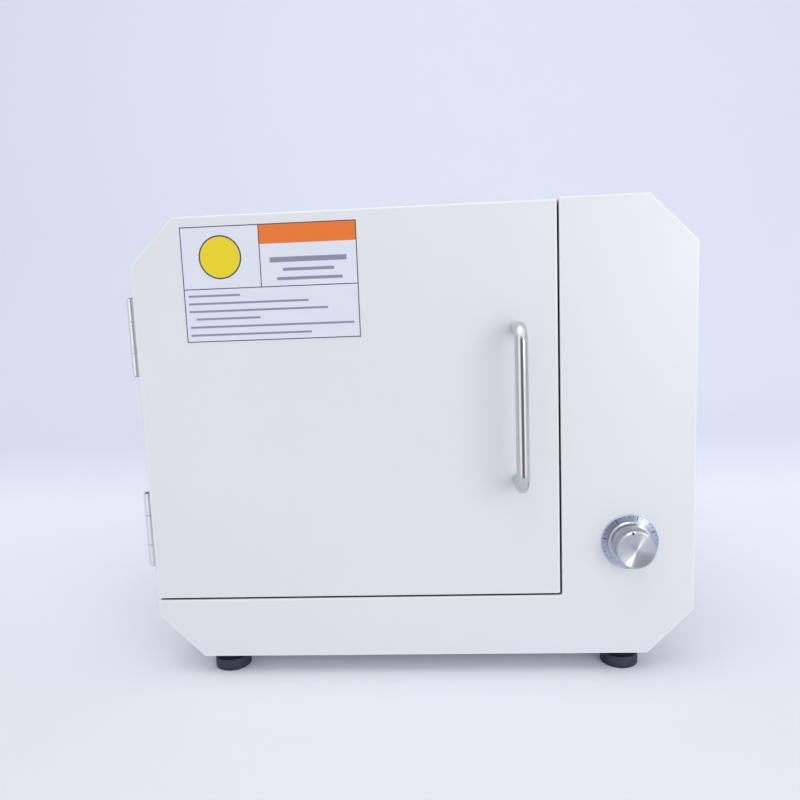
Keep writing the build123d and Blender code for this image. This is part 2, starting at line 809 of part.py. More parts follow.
def timer_knob():
    """A turned metal knob: skirt, groove, fluted grip and a bevelled front face with a pointer dot."""
    centre = (knob_x, knob_back, knob_z)
    skirt = rod(centre, (0, -1, 0), knob_skirt_height, knob_skirt_radius)
    skirt = chamfer(skirt.edges().group_by(Axis.Y)[0], knob_skirt_bevel)
    core = rod(centre, (0, -1, 0), knob_length / 2, knob_groove_radius)
    grip_start = knob_back - knob_skirt_height - knob_groove_height
    grip_length = knob_length - knob_skirt_height - knob_groove_height
    grip = rod((knob_x, grip_start, knob_z), (0, -1, 0), grip_length, knob_radius)
    grip = chamfer(grip.edges().group_by(Axis.Y)[0], knob_front_bevel)
    flute_length = grip_length - 2 * knob_front_bevel
    corners = []
    for i in range(2 * knob_flutes):
        reach = knob_radius + (knob_flute_depth if i % 2 else -knob_flute_depth)
        corners.append((reach * cos(i * pi / knob_flutes), reach * sin(i * pi / knob_flutes)))
    flutes = extrude(make_face(Polyline(*corners, close=True)), flute_length)
    band = Cylinder(2 * knob_radius, flute_length, align=(Align.CENTER, Align.CENTER, Align.MIN)) - flutes
    grip -= Plane(origin=(knob_x, grip_start, knob_z), z_dir=(0, -1, 0)) * band
    knob = skirt + core + grip
    knob -= rod(centre, (0, -1, 0), knob_recess_depth, knob_recess_radius)
    knob -= rod(centre, (0, -1, 0), knob_length - spindle_end_gap, spindle_radius + seat_gap)
    dot_reach = knob_radius - pointer_inset
    dot_x = knob_x + dot_reach * cos(radians(pointer_angle))
    dot_z = knob_z + dot_reach * sin(radians(pointer_angle))
    return knob - rod((dot_x, knob_front, dot_z), (0, 1, 0), pointer_radius, pointer_radius)


# ---------------------------------------------------------------- door
def door_panel():
    panel = front_pan(door_outline(), door_depth)
    for z in handle_hole_places():
        panel -= rod((handle_x(), -sheet, z), (0, 1, 0), 3 * sheet, handle_screw_radius + hole_clearance)
    return panel


def door_liner():
    outline = inset(door_outline(), sheet + fit_gap)
    liner = slab(outline, door_depth - sheet, door_depth)
    for height in hinge_heights.values():
        for x, z in leaf_screw_places(height):
            liner -= rod((x, 0, z), (0, 1, 0), door_depth, screw_radius + hole_clearance)
    return liner


def door_seal():
    """A foam strip round the mouth, stuck to the door's inner plate."""
    inner = rectangle(
        (mouth_left - seal_margin, mouth_right + seal_margin),
        (mouth_low - seal_margin, mouth_high + seal_margin),
    )
    outer = inset(inner, -seal_width)
    seal_back = front_depth - seal_clearance
    ring = slab(outer, door_depth, seal_back, mouth_corner_radius + seal_width)
    return ring - slab(inner, door_depth, seal_back, mouth_corner_radius)


def handle_x():
    return door_right - handle_edge_distance


def handle_hole_places():
    middle = (door_low + door_high) / 2
    return [middle - handle_hole_spacing / 2, middle + handle_hole_spacing / 2]


def door_handle():
    low, high = handle_hole_places()
    x = handle_x()
    corners = [(x, 0, low), (x, -handle_standoff, low), (x, -handle_standoff, high), (x, 0, high)]
    path = FilletPolyline(*corners, radius=handle_bend_radius)
    bar = sweep(Plane(origin=(x, 0, low), z_dir=(0, -1, 0)) * Circle(handle_bar_radius), path)
    bore_length = handle_screw_length + bore_end_gap
    for z in (low, high):
        bar -= rod((x, 0, z), (0, -1, 0), bore_length, handle_screw_radius + seat_gap)
    return bar


def handle_screws():
    length = sheet + handle_screw_length
    seats = [(handle_x(), sheet, z) for z in handle_hole_places()]
    return [pan_screw(seat, (0, -1, 0), handle_screw_radius, length) for seat in seats]


def door_label():
    low_x = left + label_side_inset
    high_z = top - label_top_inset
    place = rectangle((low_x, low_x + label_width), (high_z - label_height, high_z))
    return slab(place, -label_thickness, 0, label_corner_radius)


# ---------------------------------------------------------------- hinges
def leaf_screw_places(height):
    x = hinge_x + leaf_reach - leaf_screw_inset
    return [(x, height + i * leaf_screw_spacing) for i in (-1, 0, 1)]


def hinge_leaf(height, y_outer, y_inner, knuckle_spans, bore_gap):
    """One leaf: a plate from y_outer (its screw face) to y_inner, rolled round the pin on knuckle_spans."""
    y_pair = sorted((y_outer, y_inner))
    plate_x = (hinge_x + knuckle_radius + leaf_gap, hinge_x + leaf_reach)
    plate = block(plate_x, y_pair, (height - hinge_length / 2, height + hinge_length / 2))
    free_corners = plate.edges().filter_by(Axis.Y).group_by(Axis.X)[-1]
    leaf = fillet(free_corners, leaf_corner_radius)
    for low, high in knuckle_spans:
        leaf += block((hinge_x, plate_x[0]), y_pair, (low, high))
        leaf += rod((hinge_x, hinge_y, low), (0, 0, 1), high - low, knuckle_radius)
    inward = (0, 1 if y_inner > y_outer else -1, 0)
    for x, z in leaf_screw_places(height):
        leaf -= countersink((x, y_outer, z), inward, screw_radius + hole_clearance, leaf_sheet)
    bore_low = (hinge_x, hinge_y, height - hinge_length)
    return leaf - rod(bore_low, (0, 0, 1), 2 * hinge_length, pin_radius + bore_gap)


def hinge_frame_leaf(height):
    ends = (height - hinge_length / 2, height + hinge_length / 2)
    inner = knuckle_middle / 2 + knuckle_gap
    spans = [(ends[0], height - inner), (height + inner, ends[1])]
    return hinge_leaf(height, front_depth - leaf_sheet, front_depth, spans, pin_seat_gap)


def hinge_door_leaf(height):
    spans = [(height - knuckle_middle / 2, height + knuckle_middle / 2)]
    return hinge_leaf(height, door_depth + leaf_sheet, door_depth, spans, pin_running_gap)


def hinge_pins():
    pins = []
    for height in hinge_heights.values():
        low = height - hinge_length / 2
        pin = rod((hinge_x, hinge_y, low), (0, 0, 1), hinge_length, pin_radius)
        for z, direction in ((low, -1), (low + hinge_length, 1)):
            pin += rod((hinge_x, hinge_y, z), (0, 0, direction), pin_head_height, pin_head_radius)
        pins.append(pin)
    return pins


def leaf_screws(y_outer, inward):
    screws = []
    for height in hinge_heights.values():
        for x, z in leaf_screw_places(height):
            cone = countersink((x, y_outer, z), inward, screw_radius, leaf_sheet)
            screws.append(cone + rod((x, y_outer, z), inward, screw_length, screw_radius))
    return screws


# ---------------------------------------------------------------- door catch
def door_catch():
    """A magnet block whose poles look out through the frame's slot, with an ear at each end."""
    pole_face = door_depth + catch_gap
    body = block(
        (catch_x - catch_width / 2, catch_x + catch_width / 2),
        (pole_face, frame_back + catch_depth),
        (catch_z - catch_length / 2, catch_z + catch_length / 2),
    )
    ears = block(
        (catch_x - catch_width / 2, catch_x + catch_width / 2),
        (frame_back, frame_back + catch_ear_sheet),
        (catch_z - catch_length / 2 - catch_ear, catch_z + catch_length / 2 + catch_ear),
    )
    catch = body + ears
    for z in catch_screw_places():
        catch -= rod((catch_x, 0, z), (0, 1, 0), body_depth, screw_radius + hole_clearance)
    return catch


# ---------------------------------------------------------------- fan
def fan_frame():
    half = fan_size / 2
    outline = rectangle((fan_x - half, fan_x + half), (fan_z - half, fan_z + half))
    fan_front = rear_inner - fan_depth
    frame = slab(outline, fan_front, rear_inner, fan_corner_radius)
    frame -= rod((fan_x, fan_front, fan_z), (0, 1, 0), fan_depth, fan_bore_radius)
    centre = (fan_x, rear_inner, fan_z)
    for angle in (45, 135, 225, 315):
        strut = Pos((stator_radius + fan_bore_radius) / 2, 0, fan_strut_depth / 2) * Box(
            fan_bore_radius - stator_radius + 2 * fan_strut_root, fan_strut_width, fan_strut_depth
        )
        frame += Plane(origin=centre, x_dir=(1, 0, 0), z_dir=(0, -1, 0)) * Rot(0, 0, angle) * strut
    frame += rod(centre, (0, -1, 0), fan_strut_depth, stator_base_radius)
    frame += rod(centre, (0, -1, 0), fan_strut_depth + stator_height, stator_radius)
    bearing_end = (fan_x, rear_inner - fan_strut_depth / 2, fan_z)
    frame -= rod(bearing_end, (0, -1, 0), fan_depth, rotor_shaft_radius + running_gap)
    bore_length = fan_screw_length + bore_end_gap
    for x, z in fan_screw_places():
        frame -= rod((x, rear_inner, z), (0, -1, 0), bore_length, fan_screw_radius + seat_gap)
    return frame


def fan_rotor():
    rim_y = rear_inner - fan_strut_depth - rotor_gap
    rotor = rod((fan_x, rim_y, fan_z), (0, -1, 0), rotor_length, rotor_radius)
    rotor = fillet(rotor.edges().group_by(Axis.Y)[0], rotor_edge_radius)
    rotor -= rod((fan_x, rim_y, fan_z), (0, -1, 0), rotor_length - rotor_wall, rotor_radius - rotor_wall)
    shaft_length = rotor_length + rotor_gap - rotor_wall / 2
    rotor += rod((fan_x, rim_y + rotor_gap, fan_z), (0, -1, 0), shaft_length, rotor_shaft_radius)
    inner = rotor_radius - rotor_wall / 2
    outer = fan_bore_radius - blade_tip_gap
    blade = Rot(blade_pitch, 0, 0) * Box(outer - inner, blade_chord, blade_thickness)
    blade = Pos((inner + outer) / 2, 0, 0) * blade
    keep = Cylinder(outer, 3 * rotor_length) - Cylinder(inner, 3 * rotor_length)
    hub_middle = (fan_x, rim_y - rotor_length / 2, fan_z)
    hub_plane = Plane(origin=hub_middle, x_dir=(1, 0, 0), z_dir=(0, -1, 0))
    for i in range(fan_blades):
        rotor += hub_plane * Rot(0, 0, i * 360 / fan_blades) * (blade & keep)
    return rotor


def fan_guard():
    """Round wires carried by four bars, with an eye at each corner for the fan's screws."""
    reach = fan_screw_spacing / sqrt(2)
    wire = guard_wire_radius
    ring_step = fan_bore_radius / guard_rings
    base = Plane(origin=(fan_x, body_depth, fan_z), x_dir=(1, 0, 0), z_dir=(0, 1, 0))
    ring_radii = [ring * ring_step - wire for ring in range(1, guard_rings + 1)]
    guard = [base * Pos(0, 0, guard_ring_rise) * Torus(radius, wire) for radius in ring_radii]
    eye = Cylinder(guard_eye_radius + wire, 2 * wire) - Cylinder(guard_eye_radius - wire, 2 * wire)
    bar_length = reach - guard_eye_radius - ring_step + wire
    bar = Rot(0, 90, 0) * Cylinder(guard_bar_radius, bar_length)
    for i in range(4):
        turn = base * Rot(0, 0, 45 + 90 * i)
        guard.append(turn * Pos(reach, 0, wire) * eye)
        guard.append(turn * Pos(reach - guard_eye_radius - bar_length / 2, 0, wire) * bar)
    return guard[0].fuse(*guard[1:])


def fan_screws():
    seats = [(x, body_depth + 2 * guard_wire_radius, z) for x, z in fan_screw_places()]
    return [pan_screw(seat, (0, -1, 0), fan_screw_radius, fan_screw_length) for seat in seats]


# ---------------------------------------------------------------- power inlet
def dc_inlet():
    seat = (inlet_x, body_depth, inlet_z)
    body = rod(seat, (0, 1, 0), inlet_flange_height, inlet_flange_radius)
    body += rod(seat, (0, -1, 0), inlet_length, inlet_barrel_radius)
    mouth = (inlet_x, body_depth + inlet_flange_height, inlet_z)
    body -= rod(mouth, (0, -1, 0), inlet_bore_depth, inlet_bore_radius)
    bore_end = (inlet_x, body_depth + inlet_flange_height - inlet_bore_depth, inlet_z)
    return body + rod(bore_end, (0, 1, 0), inlet_pin_length, inlet_pin_radius)


def dc_inlet_nut():
    nut = hexagon((inlet_x, rear_inner, inlet_z), (0, -1, 0), inlet_nut_height, inlet_nut_width)
    return nut - rod((inlet_x, body_depth, inlet_z), (0, -1, 0), inlet_length, inlet_barrel_radius + seat_gap)


# ---------------------------------------------------------------- control board
def control_board():
    board = block(
        (circuit_x, circuit_x + board_sheet),
        (circuit_front, circuit_front + circuit_length),
        (circuit_z, circuit_z + circuit_height),
    )
    for y, z in circuit_corner_places():
        board -= rod((circuit_x, y, z), (1, 0, 0), board_sheet, screw_radius + hole_clearance)
    return board


def board_standoffs():
    start = mouth_right + liner_sheet
    bore = screw_radius + hole_clearance
    return [
        rod((start, y, z), (1, 0, 0), standoff_length, standoff_radius)
        - rod((start, y, z), (1, 0, 0), standoff_length, bore)
        for y, z in circuit_corner_places()
    ]


def terminal_block():
    places = terminal_places()
    face = circuit_x + board_sheet
    body = block(
        (face, face + terminal_depth),
        (places[0] - terminal_pitch / 2, places[-1] + terminal_pitch / 2),
        (circuit_z, circuit_z + terminal_height),
    )
    hole_z = circuit_z + terminal_height / 2
    for y in places:
        body -= rod((face + terminal_depth, y, hole_z), (-1, 0, 0), terminal_hole_depth, terminal_hole_radius)
    return body


def board_relay():
    face = circuit_x + board_sheet
    front = circuit_front + board_screw_inset
    low = circuit_z + relay_rise
    relay = block((face, face + relay_size[0]), (front, front + relay_size[1]), (low, low + relay_size[2]))
    return fillet(relay.edges().group_by(Axis.X)[-1], relay_edge_radius)


def inner_screws():
    """The pan-head screws inside: boards to walls, circuit to standoffs, motor to floor, catch to frame."""
    screws = []
    for plane in uv_board_planes().values():
        for x, y in board_corner_places():
            seat = plane * Pos(x, y, board_sheet)
            screws.append(pan_screw(seat.position, plane.z_dir * -1))
    for y, z in circuit_corner_places():
        screws.append(pan_screw((circuit_x + board_sheet, y, z), (-1, 0, 0)))
    for x, y in motor_ear_places():
        screws.append(pan_screw((x, y, mouth_low - liner_sheet - motor_ear_sheet), (0, 0, 1)))
    for z in catch_screw_places():
        seat = (catch_x, frame_back + catch_ear_sheet, z)
        screws.append(pan_screw(seat, (0, -1, 0), length=catch_screw_length))
    return screws


# ---------------------------------------------------------------- cables
def terminal_entry(number, run):
    """The two ends of a cable's last run, straight up into the terminal block."""
    x = circuit_x + board_sheet + terminal_depth / 2
    y = terminal_places()[number]
    return [(x, y, circuit_z - run), (x, y, circuit_z)]


def moved(point, step):
    return tuple(a + b for a, b in zip(point, step))


def timer_cable():
    start = (knob_x, sheet + pot_depth, knob_z)
    out = moved(start, (0, timer_cable_run, 0))
    return cable([start, out, moved(out, timer_cable_turn), *terminal_entry(0, timer_cable_rise)])


def motor_cable():
    start = (table_x + motor_radius, table_y, mouth_low - liner_sheet - motor_height / 2)
    out = moved(start, (motor_cable_run, 0, 0))
    low_end, high_end = terminal_entry(1, motor_cable_rise)
    return cable([start, out, (low_end[0], low_end[1], start[2] + motor_cable_lift), high_end])


def inlet_cable():
    start = (inlet_x, body_depth - inlet_length, inlet_z)
    out = moved(start, (0, -inlet_cable_run, 0))
    return cable([start, out, moved(out, inlet_cable_turn), *terminal_entry(2, inlet_cable_rise)])


def fan_cable():
    start = (fan_x - fan_cable_side, rear_inner - fan_depth / 2, fan_z - fan_size / 2)
    out = moved(start, (0, 0, -fan_cable_run))
    return cable([start, out, moved(out, fan_cable_turn), *terminal_entry(3, fan_cable_rise)])


# ---------------------------------------------------------------- writing
os.makedirs("parts", exist_ok=True)

save("base_tray", base_tray())
save("top_cover", top_cover())
save("front_panel", front_panel())
save("front_frame", front_frame())
save("rear_panel", rear_panel())
save("panel_screws", *panel_screws())
for place_name, (foot_x, foot_y) in foot_places().items():
    save(f"foot_{place_name}", foot(foot_x, foot_y))
save("foot_screws", *foot_screws())

save("chamber_floor", chamber_floor())
for wall_name, wall_solid in chamber_walls().items():
    save(wall_name, wall_solid)
for side_name, side_plane in uv_board_planes().items():
    save(f"uv_board_{side_name}", uv_board(side_plane))
    save(f"uv_leds_{side_name}", *uv_leds(side_plane))
save("inner_screws", *inner_screws())

save("turntable_motor", turntable_motor())
save("motor_shaft", motor_shaft())
save("turntable_hub", turntable_hub())
save("turntable_disc", turntable_disc())

save("timer_potentiometer", timer_potentiometer())
save("timer_nut", timer_nut())
save("dial_plate", dial_plate())
save("timer_spindle", timer_spindle())
save("timer_knob", timer_knob())

save("door_panel", door_panel())
save("door_liner", door_liner())
save("door_seal", door_seal())
save("door_handle", door_handle())
save("handle_screws", *handle_screws())
save("door_label", door_label())
save("door_catch", door_catch())
for level, hinge_height in hinge_heights.items():
    save(f"hinge_frame_leaf_{level}", hinge_frame_leaf(hinge_height))
    save(f"hinge_door_leaf_{level}", hinge_door_leaf(hinge_height))
save("hinge_pins", *hinge_pins())
save("hinge_screws_frame", *leaf_screws(front_depth - leaf_sheet, (0, 1, 0)))
save("hinge_screws_door", *leaf_screws(door_depth + leaf_sheet, (0, -1, 0)))

save("fan_frame", fan_frame())
save("fan_rotor", fan_rotor())
save("fan_guard", fan_guard())
save("fan_screws", *fan_screws())
save("dc_inlet", dc_inlet())
save("dc_inlet_nut", dc_inlet_nut())

save("control_board", control_board())
save("board_standoffs", *board_standoffs())
save("terminal_block", terminal_block())
save("board_relay", board_relay())
save("timer_cable", timer_cable())
save("motor_cable", motor_cable())
save("inlet_cable", inlet_cable())
save("fan_cable", fan_cable())
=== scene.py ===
import bpy
import math
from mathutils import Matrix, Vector


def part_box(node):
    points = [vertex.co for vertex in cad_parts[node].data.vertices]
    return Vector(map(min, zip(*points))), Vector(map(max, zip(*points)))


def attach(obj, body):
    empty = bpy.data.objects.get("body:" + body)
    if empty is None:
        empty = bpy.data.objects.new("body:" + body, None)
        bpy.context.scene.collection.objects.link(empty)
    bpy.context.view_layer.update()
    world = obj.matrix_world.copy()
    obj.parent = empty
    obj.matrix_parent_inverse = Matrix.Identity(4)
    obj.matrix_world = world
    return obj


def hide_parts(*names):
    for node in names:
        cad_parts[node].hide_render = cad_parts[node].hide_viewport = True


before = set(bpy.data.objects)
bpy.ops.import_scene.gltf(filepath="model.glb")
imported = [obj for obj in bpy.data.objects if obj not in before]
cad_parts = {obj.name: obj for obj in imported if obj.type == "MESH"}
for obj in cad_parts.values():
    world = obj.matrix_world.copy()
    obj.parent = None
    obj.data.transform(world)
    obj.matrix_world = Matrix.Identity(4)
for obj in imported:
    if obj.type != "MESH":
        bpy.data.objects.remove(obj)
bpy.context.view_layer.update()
mm = 0.001
print("frame loaded", len(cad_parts), "nodes")


# small helpers
def linear(hexColour):
    values = [int(hexColour[i:i + 2], 16) / 255 for i in (1, 3, 5)]
    return tuple(v / 12.92 if v <= 0.04045 else ((v + 0.055) / 1.055) ** 2.4 for v in values) + (1.0,)


def connect(node, links):
    for name, source in links.items():
        node.id_data.links.new(source, node.inputs[name])


def addNode(tree, kind, settings, links):
    node = tree.nodes.new(kind)
    for name, value in settings.items():
        if isinstance(name, str) and hasattr(node, name):
            setattr(node, name, value)
        else:
            node.inputs[name].default_value = value
    connect(node, links)
    return node


def blendOf(colours):
    # the settings of a mix from one colour to another
    return {"data_type": "RGBA", 6: linear(colours[0]), 7: linear(colours[1])}


def span(side, ends):
    # the ends of a map range on one side, From or To
    return {side + " Min": ends[0], side + " Max": ends[1]}


def startMaterial(name, settings):
    # every finish starts as one Principled surface on Object coordinates
    material = bpy.data.materials.new(name)
    material.use_nodes = True
    tree = material.node_tree
    tree.nodes.clear()
    surface = addNode(tree, "ShaderNodeBsdfPrincipled", settings, {})
    addNode(tree, "ShaderNodeOutputMaterial", {}, {"Surface": surface.outputs["BSDF"]})
    place = addNode(tree, "ShaderNodeTexCoord", {}, {})
    return material, tree, surface, place.outputs["Object"]


def near(a, b):
    return abs(a - b) < 0.02 * mm


def leaveEdit():
    if bpy.context.object and bpy.context.object.mode != "OBJECT":
        bpy.ops.object.mode_set(mode="OBJECT")
    bpy.ops.object.select_all(action="DESELECT")


def keepPlace(name):
    # the new primitive gets its name, and its place goes into its mesh
    piece = bpy.context.object
    piece.name = name
    piece.data.name = name
    bpy.ops.object.transform_apply(location=True, rotation=True, scale=True)
    return piece


def pick(piece, kind, test):
    # leaves the piece in edit mode with only the faces or edges that pass the test selected
    leaveEdit()
    bpy.context.view_layer.objects.active = piece
    piece.select_set(True)
    bpy.ops.object.mode_set(mode="EDIT")
    bpy.ops.mesh.select_mode(type=kind)
    bpy.ops.mesh.select_all(action="DESELECT")
    bpy.ops.object.mode_set(mode="OBJECT")
    mesh = piece.data
    if kind == "EDGE":
        for edge in mesh.edges:
            edge.select = bool(test(*(mesh.vertices[i].co for i in edge.vertices)))
    else:
        for face in mesh.polygons:
            face.select = bool(test(face.center, face.normal))
    bpy.ops.object.mode_set(mode="EDIT")


def addModifier(piece, kind, settings):
    leaveEdit()
    bpy.context.view_layer.objects.active = piece
    piece.select_set(True)
    modifier = piece.modifiers.new(kind.title(), kind)
    for name, value in settings.items():
        setattr(modifier, name, value)
    bpy.ops.object.modifier_apply(modifier=modifier.name)


def smooth(piece, angle=35):
    leaveEdit()
    bpy.context.view_layer.objects.active = piece
    piece.select_set(True)
    bpy.ops.object.shade_smooth_by_angle(angle=math.radians(angle))


def faceOut(piece):
    pick(piece, "FACE", lambda centre, normal: True)
    bpy.ops.mesh.remove_doubles(threshold=0.001 * mm)
    bpy.ops.mesh.normals_make_consistent(inside=False)
    leaveEdit()


def turn(name, start, axis, profile, sides):
    # a turned piece: a disc at start, drawn out along axis through (distance, radius) pairs in mm
    leaveEdit()
    axis = Vector(axis)
    start = Vector(start)
    tilt = Vector((0, 0, 1)).rotation_difference(axis).to_euler()
    firstRadius = profile[0][1]
    bpy.ops.mesh.primitive_circle_add(
        vertices=sides, radius=firstRadius * mm, fill_type="NGON",
        location=start + axis * profile[0][0] * mm, rotation=tilt,
    )
    piece = keepPlace(name)
    pick(piece, "FACE", lambda centre, normal: True)
    along, radius = profile[0]
    for distance, newRadius in profile[1:]:
        step = axis * (distance - along) * mm
        bpy.ops.mesh.extrude_region_move(TRANSFORM_OT_translate={"value": step})
        if newRadius != radius:
            ratio = newRadius / radius
            centre = start + axis * distance * mm
            bpy.ops.transform.resize(value=(ratio, ratio, ratio), center_override=centre)
        along, radius = distance, newRadius
    faceOut(piece)
    return piece


def dress(piece, material, body, nodes):
    piece.data.materials.clear()
    piece.data.materials.append(material)
    for face in piece.data.polygons:
        face.material_index = 0
    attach(piece, body)
    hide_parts(*nodes)


def join(name, pieces):
    leaveEdit()
    for piece in pieces:
        piece.select_set(True)
    bpy.context.view_layer.objects.active = pieces[0]
    bpy.ops.object.join()
    pieces[0].name = name
    return pieces[0]


# finishes
enamel = {
    "colour": ("#E3E7EB", "#DFE3E8"), "rough": (0.36, 0.46), "cloudSize": 111.1 * mm, "edge": 0.5 * mm,
    # painted highlight: rounded folds are mixed towards this white
    "foldHighlightColour": "#FFFFFF", "foldRough": 0.2, "foldReach": 1.15 * mm, "foldOpen": (0.97, 0.72),
    # painted shade: narrow seams are mixed towards this dark grey
    "seamShadeColour": "#34373C", "seamReach": 3.5 * mm, "seamOpen": (0.15, 0.48),
    # real orange peel is 0.5 to 1.5 mm from crest to crest
    "peelSize": 1.1 * mm, "peelDepth": 0.012 * mm,
}


def makeEnamel():
    # powder coat baked on folded steel: satin, with faint orange peel and softened edges
    material, tree, surface, place = startMaterial("whitePowderCoat", {"IOR": 1.5, "Coat Weight": 0.15,
                                                                       "Coat Roughness": 0.25})
    cloud = addNode(tree, "ShaderNodeTexNoise", {"Scale": 1 / enamel["cloudSize"], "Detail": 3.0}, {"Vector": place})
    tone = addNode(tree, "ShaderNodeMix", blendOf(enamel["colour"]), {0: cloud.outputs["Fac"]})
    rough = addNode(tree, "ShaderNodeMapRange", span("To", enamel["rough"]), {"Value": cloud.outputs["Fac"]})
    # painted highlight: rounded folds are painted paler, towards white, and made smoother than the flats
    nearby = addNode(tree, "ShaderNodeAmbientOcclusion", {"samples": 8, "inside": True, "only_local": True,
                                                          "Distance": enamel["foldReach"]}, {})
    fold = addNode(tree, "ShaderNodeMapRange", span("From", enamel["foldOpen"]), {"Value": nearby.outputs["AO"]})
    foldHighlit = addNode(tree, "ShaderNodeMix", {"data_type": "RGBA", 7: linear(enamel["foldHighlightColour"])},
                     {0: fold.outputs["Result"], 6: tone.outputs[2]})
    eased = addNode(tree, "ShaderNodeMix", {"data_type": "FLOAT", 3: enamel["foldRough"]},
                    {0: fold.outputs["Result"], 2: rough.outputs["Result"]})
    # painted shade: narrow seams are painted dark where the ambient occlusion finds them closed in
    closed = addNode(tree, "ShaderNodeAmbientOcclusion", {"samples": 6, "Distance": enamel["seamReach"]}, {})
    openness = addNode(tree, "ShaderNodeMapRange", span("From", enamel["seamOpen"]),
                       {"Value": closed.outputs["AO"]})
    shaded = addNode(tree, "ShaderNodeMix", {"data_type": "RGBA", 6: linear(enamel["seamShadeColour"])},
                     {0: openness.outputs["Result"], 7: foldHighlit.outputs[2]})
    peel = addNode(tree, "ShaderNodeTexNoise", {"Scale": 1 / enamel["peelSize"], "Detail": 2.0}, {"Vector": place})
    edge = addNode(tree, "ShaderNodeBevel", {"samples": 4, "Radius": enamel["edge"]}, {})
    bump = addNode(tree, "ShaderNodeBump", {"Strength": 0.35, "Distance": enamel["peelDepth"]},
                   {"Height": peel.outputs["Fac"], "Normal": edge.outputs["Normal"]})
    connect(surface, {"Base Color": shaded.outputs[2], "Roughness": eased.outputs[0],
                      "Normal": bump.outputs["Normal"]})
    return material


brushed = {"edge": 0.25 * mm, "depth": 0.004 * mm, "streaks": (0.3, 0.7)}


def makeBrushedMetal(name, colour, rough, grain, stretch, anisotropic):
    # bare metal with fine lines left by the belt: stretch is how much longer they are along x, y and z
    material, tree, surface, place = startMaterial(name, {"Metallic": 1.0, "Anisotropic": anisotropic})
    lines = addNode(tree, "ShaderNodeMapping", {"Scale": tuple(1 / (grain * s) for s in stretch)}, {"Vector": place})
    streak = addNode(tree, "ShaderNodeTexNoise", {"Scale": 1.0, "Detail": 3.0, "Roughness": 0.6},
                     {"Vector": lines.outputs["Vector"]})
    tone = addNode(tree, "ShaderNodeMix", blendOf(colour), {0: streak.outputs["Fac"]})
    spread = addNode(tree, "ShaderNodeMapRange", {**span("From", brushed["streaks"]), **span("To", rough)},
                     {"Value": streak.outputs["Fac"]})
    soft = addNode(tree, "ShaderNodeBevel", {"samples": 4, "Radius": brushed["edge"]}, {})
    bump = addNode(tree, "ShaderNodeBump", {"Strength": 0.4, "Distance": brushed["depth"]},
                   {"Height": streak.outputs["Fac"], "Normal": soft.outputs["Normal"]})
    connect(surface, {"Base Color": tone.outputs[2], "Roughness": spread.outputs["Result"],
                      "Normal": bump.outputs["Normal"]})
    return material


moulded = {"edge": 0.3 * mm, "driftSize": 16.67 * mm}


def makePlastic(name, colour, rough, grain, depth, settings=None):
    # moulded plastic or rubber: an even grain from the mould and a faint drift in its tone
    material, tree, surface, place = startMaterial(name, settings or {})
    drift = addNode(tree, "ShaderNodeTexNoise", {"Scale": 1 / moulded["driftSize"], "Detail": 2.0},
                    {"Vector": place})
    tone = addNode(tree, "ShaderNodeMix", blendOf(colour), {0: drift.outputs["Fac"]})
    fine = addNode(tree, "ShaderNodeTexNoise", {"Scale": 1 / grain, "Detail": 2.0}, {"Vector": place})
    spread = addNode(tree, "ShaderNodeMapRange", span("To", rough), {"Value": fine.outputs["Fac"]})
    soft = addNode(tree, "ShaderNodeBevel", {"samples": 4, "Radius": moulded["edge"]}, {})
    bump = addNode(tree, "ShaderNodeBump", {"Strength": 0.5, "Distance": depth},
                   {"Height": fine.outputs["Fac"], "Normal": soft.outputs["Normal"]})
    connect(surface, {"Base Color": tone.outputs[2], "Roughness": spread.outputs["Result"],
                      "Normal": bump.outputs["Normal"]})
    return material


def fromCentre(tree, place, centre):
    # x and z in millimetres from the middle of a round piece on the front
    moved = addNode(tree, "ShaderNodeVectorMath", {"operation": "SUBTRACT", 1: centre}, {0: place})
    scaled = addNode(tree, "ShaderNodeVectorMath", {"operation": "MULTIPLY", 1: (1 / mm, 0, 1 / mm)},
                     {0: moved.outputs["Vector"]})
    return scaled.outputs["Vector"]


def acrossRings(tree, flat):
    # turned metal spreads light across its rings: outward on a face, along the axis on a grip
    outward = addNode(tree, "ShaderNodeVectorMath", {"operation": "NORMALIZE"}, {0: flat})
    across = addNode(tree, "ShaderNodeVectorMath", {"operation": "ADD", 1: (0, 1, 0)},
                     {0: outward.outputs["Vector"]})
    turned = addNode(tree, "ShaderNodeVectorTransform", {"vector_type": "VECTOR", "convert_from": "OBJECT",
                                                         "convert_to": "WORLD"}, {"Vector": across.outputs["Vector"]})
    return turned.outputs["Vector"]


knobLow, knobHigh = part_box("timer_knob")
knobCentre = (knobLow + knobHigh) / 2
spun = {
    "colour": ("#B0B4BF", "#D6D9E1"), "rough": (0.24, 0.27), "anisotropic": 1.0, "ringPitch": 0.12,
    "ringDepth": 0.003 * mm, "inkColour": "#15161A", "dotReach": 10.9, "dotRadius": 0.8, "dotAngle": 102,
}


